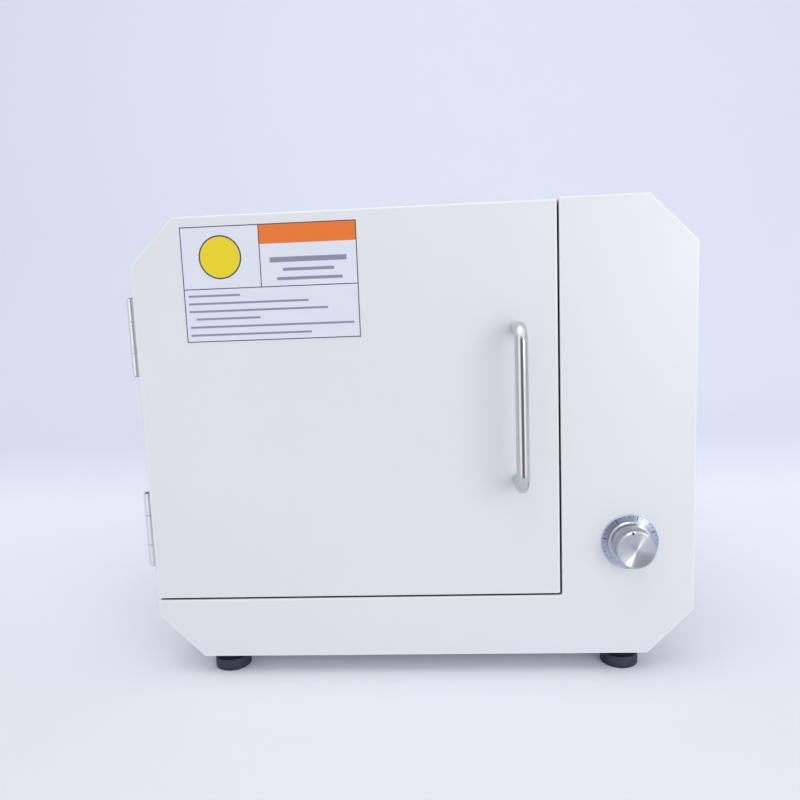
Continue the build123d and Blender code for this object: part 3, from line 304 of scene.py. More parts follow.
def makeSpunAluminium():
    # aluminium turned on a lathe: real rings are near 0.05 mm, drawn 0.12 mm apart so that they show, and they
    # spread light into wedges
    material, tree, surface, place = startMaterial("spunAluminium", {"Metallic": 1.0,
                                                                     "Anisotropic": spun["anisotropic"]})
    flat = fromCentre(tree, place, knobCentre)
    reach = addNode(tree, "ShaderNodeVectorMath", {"operation": "LENGTH"}, {0: flat})
    rings = addNode(tree, "ShaderNodeMath", {"operation": "DIVIDE", 1: spun["ringPitch"]},
                    {0: reach.outputs["Value"]})
    groove = addNode(tree, "ShaderNodeTexNoise", {"noise_dimensions": "1D", "Scale": 1.0, "Detail": 1.0},
                     {"W": rings.outputs["Value"]})
    tone = addNode(tree, "ShaderNodeMix", blendOf(spun["colour"]), {0: groove.outputs["Fac"]})
    angle = math.radians(spun["dotAngle"])
    dotPlace = (spun["dotReach"] * math.cos(angle), 0, spun["dotReach"] * math.sin(angle))
    toDot = addNode(tree, "ShaderNodeVectorMath", {"operation": "DISTANCE", 1: dotPlace}, {0: flat})
    dot = addNode(tree, "ShaderNodeMath", {"operation": "LESS_THAN", 1: spun["dotRadius"]},
                  {0: toDot.outputs["Value"]})
    inked = addNode(tree, "ShaderNodeMix", {"data_type": "RGBA", 7: linear(spun["inkColour"])},
                    {0: dot.outputs["Value"], 6: tone.outputs[2]})
    bare = addNode(tree, "ShaderNodeMath", {"operation": "SUBTRACT", 0: 1.0}, {1: dot.outputs["Value"]})
    spread = addNode(tree, "ShaderNodeMapRange", span("To", spun["rough"]), {"Value": groove.outputs["Fac"]})
    bump = addNode(tree, "ShaderNodeBump", {"Strength": 0.3, "Distance": spun["ringDepth"]},
                   {"Height": groove.outputs["Fac"]})
    connect(surface, {"Base Color": inked.outputs[2], "Metallic": bare.outputs["Value"],
                      "Roughness": spread.outputs["Result"], "Tangent": acrossRings(tree, flat),
                      "Normal": bump.outputs["Normal"]})
    return material


dial = {
    "colour": ("#A5B3CB", "#BFC9DB"), "anisotropic": 0.9, "rough": (0.3, 0.4), "ink": "#17181D",
    # in degrees, anticlockwise from the right
    "start": 220.0, "step": 49.0, "marks": 6,
    # millimetres from the middle, and half the width of a mark
    "inner": 14.6, "outer": 17.1, "minorInner": 15.9, "halfWidth": 0.32, "minorHalfWidth": 0.16, "minorPerStep": 5,
    # where the angle's own break lies, and how far past the last mark the scale may run, in degrees
    "breakTurn": 40.0, "endSpare": 3.0,
    # brushing lines are finer on the real plate, and drawn as far apart as shows, in millimetres
    "ringPitch": 0.143,
}


def tickMask(tree, reach, degrees, step, halfWidth, inner, outer):
    # 1 on a ring of ticks: step is in degrees, the rest in millimetres
    turnsBack = addNode(tree, "ShaderNodeMath", {"operation": "SUBTRACT", 0: dial["start"]}, {1: degrees})
    share = addNode(tree, "ShaderNodeMath", {"operation": "DIVIDE", 1: step}, {0: turnsBack.outputs["Value"]})
    nearest = addNode(tree, "ShaderNodeMath", {"operation": "ROUND"}, {0: share.outputs["Value"]})
    off = addNode(tree, "ShaderNodeMath", {"operation": "SUBTRACT"},
                  {0: share.outputs["Value"], 1: nearest.outputs["Value"]})
    size = addNode(tree, "ShaderNodeMath", {"operation": "ABSOLUTE"}, {0: off.outputs["Value"]})
    arc = addNode(tree, "ShaderNodeMath", {"operation": "MULTIPLY", 1: math.radians(step)},
                  {0: size.outputs["Value"]})
    width = addNode(tree, "ShaderNodeMath", {"operation": "MULTIPLY"}, {0: arc.outputs["Value"], 1: reach})
    onTick = addNode(tree, "ShaderNodeMath", {"operation": "LESS_THAN", 1: halfWidth}, {0: width.outputs["Value"]})
    beyond = addNode(tree, "ShaderNodeMath", {"operation": "GREATER_THAN", 1: inner}, {0: reach})
    within = addNode(tree, "ShaderNodeMath", {"operation": "LESS_THAN", 1: outer}, {0: reach})
    ring = addNode(tree, "ShaderNodeMath", {"operation": "MULTIPLY"},
                   {0: beyond.outputs["Value"], 1: within.outputs["Value"]})
    lastMark = dial["step"] * dial["marks"]
    inScale = addNode(tree, "ShaderNodeMath", {"operation": "LESS_THAN", 1: lastMark + dial["endSpare"]},
                      {0: turnsBack.outputs["Value"]})
    printed = addNode(tree, "ShaderNodeMath", {"operation": "MULTIPLY"},
                      {0: onTick.outputs["Value"], 1: ring.outputs["Value"]})
    kept = addNode(tree, "ShaderNodeMath", {"operation": "MULTIPLY"},
                   {0: printed.outputs["Value"], 1: inScale.outputs["Value"]})
    return kept.outputs["Value"]


def makeDialAluminium():
    # anodised aluminium scale plate, brushed in a circle, with printed black marks
    material, tree, surface, place = startMaterial("anodisedScalePlate", {"Anisotropic": dial["anisotropic"]})
    flat = fromCentre(tree, place, knobCentre)
    reach = addNode(tree, "ShaderNodeVectorMath", {"operation": "LENGTH"}, {0: flat})
    # the angle runs from -140 to 220 degrees, so that the scale has no break in it
    swing = math.radians(dial["breakTurn"])
    swung = addNode(tree, "ShaderNodeVectorRotate", {"rotation_type": "Y_AXIS", "Angle": swing}, {"Vector": flat})
    parts = addNode(tree, "ShaderNodeSeparateXYZ", {}, {0: swung.outputs["Vector"]})
    angle = addNode(tree, "ShaderNodeMath", {"operation": "ARCTAN2"},
                    {0: parts.outputs["Z"], 1: parts.outputs["X"]})
    inDegrees = addNode(tree, "ShaderNodeMath", {"operation": "DEGREES"}, {0: angle.outputs["Value"]})
    degrees = addNode(tree, "ShaderNodeMath", {"operation": "ADD", 1: dial["breakTurn"]},
                      {0: inDegrees.outputs["Value"]})
    major = tickMask(tree, reach.outputs["Value"], degrees.outputs["Value"], dial["step"], dial["halfWidth"],
                     dial["inner"], dial["outer"])
    minor = tickMask(tree, reach.outputs["Value"], degrees.outputs["Value"], dial["step"] / dial["minorPerStep"],
                     dial["minorHalfWidth"], dial["minorInner"], dial["outer"])
    mask = addNode(tree, "ShaderNodeMath", {"operation": "MAXIMUM"}, {0: major, 1: minor})
    rings = addNode(tree, "ShaderNodeTexNoise", {"noise_dimensions": "1D", "Scale": 1 / dial["ringPitch"],
                                                 "Detail": 1.0}, {"W": reach.outputs["Value"]})
    tone = addNode(tree, "ShaderNodeMix", blendOf(dial["colour"]), {0: rings.outputs["Fac"]})
    inked = addNode(tree, "ShaderNodeMix", {"data_type": "RGBA", 7: linear(dial["ink"])},
                    {0: mask.outputs["Value"], 6: tone.outputs[2]})
    bare = addNode(tree, "ShaderNodeMath", {"operation": "SUBTRACT", 0: 1.0}, {1: mask.outputs["Value"]})
    spread = addNode(tree, "ShaderNodeMapRange", span("To", dial["rough"]), {"Value": rings.outputs["Fac"]})
    connect(surface, {"Tangent": acrossRings(tree, flat), "Base Color": inked.outputs[2],
                      "Metallic": bare.outputs["Value"], "Roughness": spread.outputs["Result"]})
    return material


label = {
    "vinyl": ("#E3E7F2", "#DCE1EE"), "frameInk": "#3A4160", "orange": "#EB7A30", "yellow": "#EBD527",
    "line": 0.6, "divider": 49.6, "rowHeight": 33.0, "bandHeight": 12.2, "inset": 0.25,
    "discPlace": (24.8, 52.6), "discRadius": 13.5, "discRing": 0.9, "driftSize": 25 * mm,
    # plain bars where such a sheet has its lines of print: x from, x to, lower edge, height
    "bars": ((3, 36, 28.4, 1.3), (3, 79, 23.6, 1.3), (3, 91, 18.8, 1.3), (7, 48, 14.0, 1.3), (3, 107, 9.0, 1.3),
             (3, 80, 4.0, 1.3), (56, 104, 48.0, 3.2), (64, 96, 42.6, 1.9), (60, 101, 37.0, 1.9)),
    "barInk": "#8B91A8",
}


def inside(tree, flat, low, high):
    # 1 inside the rectangle from low to high, each (x, z) in millimetres from the label's lower left corner
    middle = ((low[0] + high[0]) / 2, 0, (low[1] + high[1]) / 2)
    half = ((high[0] - low[0]) / 2, 1, (high[1] - low[1]) / 2)
    off = addNode(tree, "ShaderNodeVectorMath", {"operation": "SUBTRACT", 1: middle}, {0: flat})
    size = addNode(tree, "ShaderNodeVectorMath", {"operation": "ABSOLUTE"}, {0: off.outputs["Vector"]})
    past = addNode(tree, "ShaderNodeVectorMath", {"operation": "SUBTRACT", 1: half}, {0: size.outputs["Vector"]})
    parts = addNode(tree, "ShaderNodeSeparateXYZ", {}, {0: past.outputs["Vector"]})
    worst = addNode(tree, "ShaderNodeMath", {"operation": "MAXIMUM"}, {0: parts.outputs["X"], 1: parts.outputs["Z"]})
    mask = addNode(tree, "ShaderNodeMath", {"operation": "LESS_THAN", 1: 0.0}, {0: worst.outputs["Value"]})
    return mask.outputs["Value"]


def makeLabelVinyl():
    # printed vinyl sheet under a clear film: flat inks, smooth and a little shiny
    material, tree, surface, place = startMaterial("printedVinyl", {"Roughness": 0.32, "IOR": 1.46})
    low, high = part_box("door_label")
    flat = fromCentre(tree, place, low)
    wide, tall = (high.x - low.x) / mm, (high.z - low.z) / mm
    edge, line = label["inset"], label["line"]
    base = addNode(tree, "ShaderNodeTexNoise", {"Scale": 1 / label["driftSize"]}, {"Vector": place})
    tone = addNode(tree, "ShaderNodeMix", blendOf(label["vinyl"]), {0: base.outputs["Fac"]})
    colour = tone.outputs[2]
    inks = []
    for fromX, toX, foot, height in label["bars"]:
        inks.append((label["barInk"], (fromX, foot), (toX, foot + height)))
    inks.append((label["orange"], (label["divider"], tall - edge - label["bandHeight"]), (wide - edge, tall - edge)))
    for x in (edge, label["divider"], wide - edge - line):
        bottomZ = label["rowHeight"] if x == label["divider"] else edge
        inks.append((label["frameInk"], (x, bottomZ), (x + line, tall - edge)))
    for z in (edge, label["rowHeight"], tall - edge - line):
        inks.append((label["frameInk"], (edge, z), (wide - edge, z + line)))
    for ink, start, end in inks:
        mask = inside(tree, flat, start, end)
        layer = addNode(tree, "ShaderNodeMix", {"data_type": "RGBA", 7: linear(ink)}, {0: mask, 6: colour})
        colour = layer.outputs[2]
    discPlace = (label["discPlace"][0], 0, label["discPlace"][1])
    toDisc = addNode(tree, "ShaderNodeVectorMath", {"operation": "DISTANCE", 1: discPlace}, {0: flat})
    for ink, reach in ((label["frameInk"], label["discRadius"]),
                       (label["yellow"], label["discRadius"] - label["discRing"])):
        disc = addNode(tree, "ShaderNodeMath", {"operation": "LESS_THAN", 1: reach}, {0: toDisc.outputs["Value"]})
        layer = addNode(tree, "ShaderNodeMix", {"data_type": "RGBA", 7: linear(ink)},
                        {0: disc.outputs["Value"], 6: colour})
        colour = layer.outputs[2]
    connect(surface, {"Base Color": colour})
    return material


# traces run on a grid of four pin pitches
board = {"mask": ("#0F5A33", "#137042"), "trace": "#1C8450", "pitch": 2.54 * mm,
         "traceDepth": 0.05 * mm}


def makeCircuitBoard():
    # glass-fibre board under green solder mask, with traces that show through it
    material, tree, surface, place = startMaterial("greenCircuitBoard", {"Roughness": 0.3, "Coat Weight": 0.3})
    squared = addNode(tree, "ShaderNodeTexBrick", {
        "Scale": 1 / (4 * board["pitch"]), "Mortar Size": 0.03, "Mortar Smooth": 0.1, "Bias": -0.3,
        "Color1": linear(board["mask"][0]), "Color2": linear(board["mask"][1]), "Mortar": linear(board["trace"]),
    }, {})
    side = addNode(tree, "ShaderNodeMapping", {"Rotation": (math.pi / 2, 0, math.pi / 2)}, {"Vector": place})
    tree.links.new(side.outputs["Vector"], squared.inputs["Vector"])
    bump = addNode(tree, "ShaderNodeBump", {"Strength": 0.3, "Distance": board["traceDepth"], "invert": True},
                   {"Height": squared.outputs["Fac"]})
    connect(surface, {"Base Color": squared.outputs["Color"], "Normal": bump.outputs["Normal"]})
    return material


# one copper panel for each lamp, 34 mm apart along the board
lampBoard = {"colour": ("#EEF0F0", "#C9CDD0"), "padWidth": 34.0 * mm, "gapFrom": (0.44, 0.46),
             "copperDepth": 0.04 * mm}


def makeLampBoard():
    # aluminium-cored board under white solder mask: copper areas under it show as faint raised panels
    material, tree, surface, place = startMaterial("whiteLampBoard", {"Roughness": 0.34, "IOR": 1.5})
    swell = addNode(tree, "ShaderNodeTexVoronoi", {"distance": "CHEBYCHEV", "Scale": 1 / lampBoard["padWidth"],
                                                   "Randomness": 0.0}, {"Vector": place})
    panel = addNode(tree, "ShaderNodeMapRange", span("From", lampBoard["gapFrom"]),
                    {"Value": swell.outputs["Distance"]})
    tone = addNode(tree, "ShaderNodeMix", blendOf(lampBoard["colour"]), {0: panel.outputs["Result"]})
    bump = addNode(tree, "ShaderNodeBump", {"Strength": 0.5, "Distance": lampBoard["copperDepth"],
                                            "invert": True},
                   {"Height": panel.outputs["Result"]})
    connect(surface, {"Base Color": tone.outputs[2], "Normal": bump.outputs["Normal"]})
    return material


acrylic = {"tint": "#E9F3F6", "rough": (0.03, 0.12), "scratchSize": 4.55 * mm, "scratchFrom": (0.45, 0.7)}


def makeAcrylic():
    # cast acrylic sheet with polished edges, faintly blue, with a few fine scratches from use
    material, tree, surface, place = startMaterial("clearAcrylic", {
        "Base Color": linear(acrylic["tint"]), "IOR": 1.49, "Transmission Weight": 0.92,
    })
    scratch = addNode(tree, "ShaderNodeTexNoise", {"Scale": 1 / acrylic["scratchSize"], "Detail": 4.0,
                                                   "Distortion": 1.5}, {"Vector": place})
    spread = addNode(tree, "ShaderNodeMapRange", {**span("From", acrylic["scratchFrom"]),
                                                  **span("To", acrylic["rough"])}, {"Value": scratch.outputs["Fac"]})
    connect(surface, {"Roughness": spread.outputs["Result"]})
    return material


foam = {"colour": ("#141518", "#2C2E33"), "cell": 0.5 * mm, "depth": 0.15 * mm}


def makeFoam():
    # closed-cell sponge strip: matt black with small open pores
    material, tree, surface, place = startMaterial("blackSealFoam", {"Roughness": 0.85})
    cells = addNode(tree, "ShaderNodeTexVoronoi", {"Scale": 1 / foam["cell"]}, {"Vector": place})
    tone = addNode(tree, "ShaderNodeMix", blendOf(foam["colour"]), {0: cells.outputs["Distance"]})
    bump = addNode(tree, "ShaderNodeBump", {"Strength": 0.7, "Distance": foam["depth"]},
                   {"Height": cells.outputs["Distance"]})
    connect(surface, {"Base Color": tone.outputs[2], "Normal": bump.outputs["Normal"]})
    return material


lensGel = {"colour": ("#EFE08C", "#F7F0C4"), "grain": 1.11 * mm}


def makeLens():
    # silicone gel cast over the lamp: soft, clear and yellowed by the phosphor under it
    material, tree, surface, place = startMaterial("siliconeLens", {"IOR": 1.41, "Transmission Weight": 0.55,
                                                                    "Roughness": 0.12})
    cloud = addNode(tree, "ShaderNodeTexNoise", {"Scale": 1 / lensGel["grain"]}, {"Vector": place})
    tone = addNode(tree, "ShaderNodeMix", blendOf(lensGel["colour"]), {0: cloud.outputs["Fac"]})
    connect(surface, {"Base Color": tone.outputs[2]})
    return material


whitePowderCoat = makeEnamel()
# stainless bar, belt ground along its length and nearly bright
brushedStainless = makeBrushedMetal("brushedStainless", ("#C1C1C4", "#D6D6D8"), (0.1, 0.18), 0.25 * mm,
                                     (1, 1, 40), 0.2)
# hinge leaves: nickel plate on brushed steel, pale and matt
satinNickel = makeBrushedMetal("satinNickel", ("#DCE3EB", "#EEF2F6"), (0.3, 0.4), 0.3 * mm, (1, 1, 20), 0.0)
# drawn steel pins, in a darker grey than the leaves
pinSteel = makeBrushedMetal("darkPinSteel", ("#6A6D74", "#7F828A"), (0.3, 0.42), 0.3 * mm, (1, 1, 6), 0.0)
# cold rolled sheet left bright, which throws the lamps' light about the chamber
mirrorSheet = makeBrushedMetal("brightRolledSteel", ("#C9CBCE", "#DEDFE2"), (0.14, 0.24), 0.5 * mm,
                               (1, 30, 1), 0.3)
# zinc plate on pressed steel and screws: grey, with a fine crystal grain and no direction
zincPlate = makeBrushedMetal("zincPlatedSteel", ("#A4A8AF", "#C3C5C8"), (0.26, 0.42), 0.6 * mm, (1, 1, 1), 0.0)
# hub turned from bar aluminium, left bare
turnedHub = makeBrushedMetal("turnedAluminiumHub", ("#B8BAC0", "#CFD0D4"), (0.25, 0.38), 0.3 * mm, (1, 1, 6), 0.2)
spunAluminium = makeSpunAluminium()
scalePlate = makeDialAluminium()
printedVinyl = makeLabelVinyl()
# feet: moulded rubber; the collar over the pad is the same rubber painted darker, as painted shade under the cabinet
footRubber = makePlastic("mouldedBlackRubber", ("#23273A", "#2C3148"), (0.5, 0.68), 0.35 * mm, 0.03 * mm)
collarRubberInShade = makePlastic("collarRubberInShade", ("#0B0D18", "#121523"), (0.6, 0.75), 0.35 * mm, 0.03 * mm,
                           {"Specular IOR Level": 0.15})
# fan, inlet, catch and potentiometer: moulded ABS with a fine mould grain
blackAbs = makePlastic("mouldedBlackAbs", ("#16171A", "#202226"), (0.4, 0.56), 0.4 * mm, 0.02 * mm)
# cable sleeve: extruded PVC, smooth
blackSleeve = makePlastic("blackPvcSleeve", ("#131417", "#1B1C20"), (0.35, 0.5), 0.6 * mm, 0.02 * mm)
# relay case and terminals: moulded in glossy colours
blueCase = makePlastic("blueRelayCase", ("#1F3F93", "#2648A3"), (0.28, 0.4), 0.5 * mm, 0.01 * mm)
greenTerminal = makePlastic("greenPolyamide", ("#1C7A45", "#228A4F"), (0.35, 0.5), 0.4 * mm, 0.02 * mm)
# lamp packages: white moulded resin
lampCase = makePlastic("whiteLampCase", ("#F0EBDD", "#F6F3EA"), (0.35, 0.45), 0.3 * mm, 0.005 * mm)
circuitGreen = makeCircuitBoard()
lampBoardWhite = makeLampBoard()
clearAcrylic = makeAcrylic()
sealFoam = makeFoam()
lampLens = makeLens()
print("finishes made", len(bpy.data.materials))

finishNodes = {
    whitePowderCoat: "base_tray top_cover front_panel front_frame rear_panel door_panel door_liner",
    mirrorSheet: "chamber_floor chamber_left_wall chamber_right_wall chamber_top_wall chamber_back_wall",
    satinNickel: "hinge_frame_leaf_upper hinge_frame_leaf_lower hinge_door_leaf_upper "
                 "hinge_door_leaf_lower",
    pinSteel: "hinge_pins",
    brushedStainless: "hinge_screws_frame hinge_screws_door motor_shaft",
    zincPlate: "panel_screws foot_screws inner_screws handle_screws fan_screws fan_guard timer_nut "
               "dc_inlet_nut turntable_motor timer_spindle board_standoffs",
    scalePlate: "dial_plate",
    turnedHub: "turntable_hub",
    lampBoardWhite: "uv_board_left uv_board_right uv_board_top",
    blackAbs: "timer_potentiometer fan_frame fan_rotor dc_inlet door_catch",
    blackSleeve: "timer_cable motor_cable inlet_cable fan_cable",
    circuitGreen: "control_board",
    greenTerminal: "terminal_block",
    blueCase: "board_relay",
    printedVinyl: "door_label",
}
for finish, nodeNames in finishNodes.items():
    for nodeName in nodeNames.split():
        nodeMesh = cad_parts[nodeName].data
        for index in range(len(nodeMesh.materials)):
            nodeMesh.materials[index] = finish

# door handle: one bent bar
handle = {"radius": 4.0, "bend": 9.0, "standoff": 26.0, "bendSteps": 14, "sides": 40}


def buildHandle():
    low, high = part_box("door_handle")
    middleX = (low.x + high.x) / 2
    radius, bend, standoff = (handle[key] * mm for key in ("radius", "bend", "standoff"))
    doorFace = high.y
    lowZ, highZ = low.z + radius, high.z - radius
    leaveEdit()
    bpy.ops.mesh.primitive_circle_add(vertices=handle["sides"], radius=radius, fill_type="NGON",
                                      location=(middleX, doorFace, lowZ), rotation=(math.pi / 2, 0, 0))
    bar = keepPlace("doorHandle")
    pick(bar, "FACE", lambda centre, normal: True)
    bpy.ops.mesh.extrude_region_move(TRANSFORM_OT_translate={"value": (0, bend - standoff, 0)})
    elbowY = doorFace - standoff + bend
    # spin turns against the right-hand rule, so a positive angle bends the bar upwards
    bpy.ops.mesh.spin(steps=handle["bendSteps"], angle=math.pi / 2, center=(middleX, elbowY, lowZ + bend),
                      axis=(1, 0, 0))
    bpy.ops.mesh.extrude_region_move(TRANSFORM_OT_translate={"value": (0, 0, highZ - lowZ - 2 * bend)})
    bpy.ops.mesh.spin(steps=handle["bendSteps"], angle=math.pi / 2, center=(middleX, elbowY, highZ - bend),
                      axis=(1, 0, 0))
    bpy.ops.mesh.extrude_region_move(TRANSFORM_OT_translate={"value": (0, standoff - bend, 0)})
    faceOut(bar)
    smooth(bar)
    dress(bar, brushedStainless, "door", ["door_handle"])


# timer knob: turned in steps, with a fluted grip
knob = {
    "skirt": (14.0, 2.2, 0.9), "groove": (11.0, 1.0), "grip": 12.0, "bevel": 1.0, "flutes": 44, "fluteDepth": 0.35,
    "recess": (9.0, 5.0), "dish": (10.4, 0.12), "dishSlope": 0.3, "dishMiddle": 2.0,
    # a hair's step that keeps two rings of the turned profile from being one
    "hair": 0.001, "edgeRound": 0.12,
}


def buildKnob():
    front, back = knobLow.y, knobHigh.y
    length = (back - front) / mm
    skirtRadius, skirtHeight, skirtBevel = knob["skirt"]
    grooveRadius, grooveHeight = knob["groove"]
    recessRadius, recessDepth = knob["recess"]
    dishRadius, dishDepth = knob["dish"]
    grip, bevel, hair = knob["grip"], knob["bevel"], knob["hair"]
    gripStart = skirtHeight + grooveHeight
    start = (knobCentre.x, back, knobCentre.z)
    body = turn("timerKnob", start, (0, -1, 0), [
        (recessDepth, recessRadius), (0, recessRadius + hair), (0, skirtRadius),
        (skirtHeight - skirtBevel, skirtRadius), (skirtHeight, skirtRadius - skirtBevel),
        (skirtHeight, grooveRadius), (gripStart, grooveRadius), (gripStart, grip),
        (gripStart + bevel, grip + hair), (length - bevel * 2, grip + 2 * hair),
        (length - bevel, grip), (length, grip - bevel), (length, dishRadius),
        (length - dishDepth, dishRadius - knob["dishSlope"]), (length - dishDepth, knob["dishMiddle"]),
    ], sides=2 * knob["flutes"])
    # every other line along the grip is drawn in, which makes the flutes
    firstY = back - (gripStart + bevel) * mm
    lastY = back - (length - bevel * 2) * mm
    step = math.pi / knob["flutes"]

    def onFlute(a, b):
        if not (near(max(a.y, b.y), firstY) and near(min(a.y, b.y), lastY)):
            return False
        angle = math.atan2(a.z - knobCentre.z, a.x - knobCentre.x)
        return round(angle / step) % 2 == 0

    pick(body, "EDGE", onFlute)
    ratio = 1 - 2 * knob["fluteDepth"] / grip
    bpy.ops.transform.resize(value=(ratio, 1, ratio), center_override=knobCentre)
    leaveEdit()
    addModifier(body, "BEVEL", {"width": knob["edgeRound"] * mm, "segments": 2, "limit_method": "ANGLE",
                                "angle_limit": math.radians(50)})
    smooth(body, 30)
    dress(body, spunAluminium, "timer", ["timer_knob"])


# feet: a pad with a rounded rim under a narrower collar
foot = {"radius": 12.0, "collarInset": 0.5, "padHeight": 8.0, "height": 12.5, "rim": 0.8, "recess": (5.0, 6.0),
        "chamfer": 0.4, "rimSteps": (0, 22.5, 45, 67.5, 90)}


def copyTo(piece, place, name):
    # a copy with its own mesh, moved to its place
    leaveEdit()
    copy = piece.copy()
    copy.data = piece.data.copy()
    bpy.context.collection.objects.link(copy)
    copy.location = place
    copy.select_set(True)
    bpy.context.view_layer.objects.active = copy
    return keepPlace(name)


def buildFeet(nodeNames):
    radius, rim, pad, chamfer = foot["radius"], foot["rim"], foot["padHeight"], foot["chamfer"]
    collar = radius - foot["collarInset"]
    recessRadius, recessDepth = foot["recess"]
    arc = [(rim - rim * math.cos(a), radius - rim + rim * math.sin(a)) for a in
           (math.radians(step) for step in foot["rimSteps"])]
    topArc = [(pad - distance, reach) for distance, reach in reversed(arc)]
    model = turn("foot", (0, 0, 0), (0, 0, 1), [
        (recessDepth, recessRadius - chamfer), (chamfer, recessRadius), *arc, *topArc,
        (pad, collar - chamfer), (pad + chamfer, collar), (foot["height"], collar),
    ], sides=72)
    smooth(model, 40)
    for nodeName in nodeNames:
        low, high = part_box(nodeName)
        words = nodeName.split("_")
        piece = copyTo(model, ((low.x + high.x) / 2, (low.y + high.y) / 2, 0),
                       words[0] + "".join(word.title() for word in words[1:]))
        dress(piece, footRubber, "cabinet", [nodeName])
        # the collar faces take the darker copy of the rubber: painted shade
        piece.data.materials.append(collarRubberInShade)
        for face in piece.data.polygons:
            face.material_index = 1 if face.center.z > (pad - 0.2) * mm else 0
    bpy.data.objects.remove(model)


# door seal: a foam ring stuck to the door's inner plate
# corner is the outer corner's radius, the inner one is less by the width
seal = {"width": 8.0, "corner": 11.0, "round": 0.7}


def buildSeal():
    low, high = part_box("door_seal")
    leaveEdit()
    bpy.ops.mesh.primitive_plane_add(size=1, location=((low.x + high.x) / 2, low.y, (low.z + high.z) / 2),
                                     rotation=(math.pi / 2, 0, 0))
    bpy.context.object.scale = (high.x - low.x, high.z - low.z, 1)
    ring = keepPlace("doorSeal")
    pick(ring, "FACE", lambda centre, normal: True)
    bpy.ops.mesh.inset(thickness=seal["width"] * mm)
    bpy.ops.mesh.delete(type="FACE")
    pick(ring, "FACE", lambda centre, normal: True)
    bpy.ops.mesh.extrude_region_move(TRANSFORM_OT_translate={"value": (0, high.y - low.y, 0)})
    faceOut(ring)
    outer = seal["corner"] * mm

    def cornerOf(reach):
        def test(a, b):
            if abs(a.y - b.y) < 1 * mm:
                return False
            onX = near(a.x, low.x + reach) or near(a.x, high.x - reach)
            return onX and (near(a.z, low.z + reach) or near(a.z, high.z - reach))
        return test

    pick(ring, "EDGE", cornerOf(0))
    bpy.ops.mesh.bevel(offset=outer, segments=8, affect="EDGES")
    pick(ring, "EDGE", cornerOf(seal["width"] * mm))
    bpy.ops.mesh.bevel(offset=outer - seal["width"] * mm, segments=5, affect="EDGES")
    addModifier(ring, "BEVEL", {"width": seal["round"] * mm, "segments": 3, "limit_method": "ANGLE",
                                "angle_limit": math.radians(60)})
    smooth(ring, 50)
    dress(ring, sealFoam, "door", ["door_seal"])


# turning table: a clear disc with bevelled edges and the hub's hole
# edge is the bevel's size, and bevelMid how far in its middle line stands
table = {"bore": 8.1, "edge": 0.4, "bevelMid": 0.3}


def buildTable():
    low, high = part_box("turntable_disc")
    middle = (low + high) / 2
    radius = (high.x - low.x) / 2 / mm
    thick = (high.z - low.z) / mm
    bore, edge = table["bore"], table["edge"]
    between = table["bevelMid"] * edge
    disc = turn("turntableDisc", (middle.x, middle.y, low.z), (0, 0, 1), [
        (0, bore), (0, radius - edge), (between, radius - between), (edge, radius), (thick - edge, radius),
        (thick - between, radius - between), (thick, radius - edge), (thick, bore),
    ], sides=144)
    # the two round caps go, and the hub's hole is bridged between them
    pick(disc, "FACE", lambda centre, normal: (centre - middle).xy.length < 0.5 * mm)
    bpy.ops.mesh.delete(type="FACE")
    pick(disc, "EDGE", lambda a, b: all((v - middle).xy.length < (bore + 0.1) * mm for v in (a, b)))
    bpy.ops.mesh.bridge_edge_loops()
    faceOut(disc)
    smooth(disc, 35)
    dress(disc, clearAcrylic, "turntable", ["turntable_disc"])


# lamps: one package with its lens, copied over each board
# the lens is turned through (height, radius) pairs in mm
lamp = {"size": 5.0, "height": 1.2, "bevel": 0.15, "rows": 4, "columns": 5, "boardLength": 170.0, "boardWidth": 150.0,
        "lens": ((0, 2.0), (0.45, 1.9), (0.85, 1.55), (1.15, 1.0), (1.3, 0.35)), "lensSides": 12}


def buildLamp():
    # one package with its lens, standing at the origin
    leaveEdit()
    bpy.ops.mesh.primitive_cube_add(size=1, location=(0, 0, lamp["height"] / 2 * mm))
    bpy.context.object.scale = (lamp["size"] * mm, lamp["size"] * mm, lamp["height"] * mm)
    case = keepPlace("lampCase")
    pick(case, "EDGE", lambda a, b: a.z > 0.5 * mm and b.z > 0.5 * mm)
    bpy.ops.mesh.bevel(offset=lamp["bevel"] * mm, segments=1, affect="EDGES")
    case.data.materials.append(lampCase)
    lens = turn("lens", (0, 0, lamp["height"] * mm), (0, 0, 1), lamp["lens"], sides=lamp["lensSides"])
    smooth(lens, 60)
    lens.data.materials.append(lampLens)
    return join("lamp", [case, lens])


def coverBoard(package, side, normal):
    normal = Vector(normal)
    across = Vector((0, 0, 1)) if abs(normal.x) > 0.5 else Vector((1, 0, 0))
    # the packages stand on the board's outer face
    boardLow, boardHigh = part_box(f"uv_board_{side}")
    seat = (boardLow + boardHigh) / 2 + normal * min(boardHigh - boardLow) / 2
    package.rotation_euler = Vector((0, 0, 1)).rotation_difference(normal).to_euler()
    copies = []
    for column in range(lamp["columns"]):
        for row in range(lamp["rows"]):
            along = (column - (lamp["columns"] - 1) / 2) * lamp["boardLength"] / lamp["columns"] * mm
            sideways = (row - (lamp["rows"] - 1) / 2) * lamp["boardWidth"] / lamp["rows"] * mm
            place = seat + Vector((0, 1, 0)) * along + across * sideways
            copies.append(copyTo(package, place, "uvLamps" + side.title()))
    lamps = join("uvLamps" + side.title(), copies)
    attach(lamps, "cabinet")
    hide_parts(f"uv_leds_{side}")


buildHandle()
buildKnob()
buildFeet(["foot_front_left", "foot_front_right", "foot_rear_left", "foot_rear_right"])
buildSeal()
buildTable()
lampPackage = buildLamp()
for sideName, sideNormal in (("left", (1, 0, 0)), ("right", (-1, 0, 0)), ("top", (0, 0, -1))):
    coverBoard(lampPackage, sideName, sideNormal)
bpy.data.objects.remove(lampPackage)

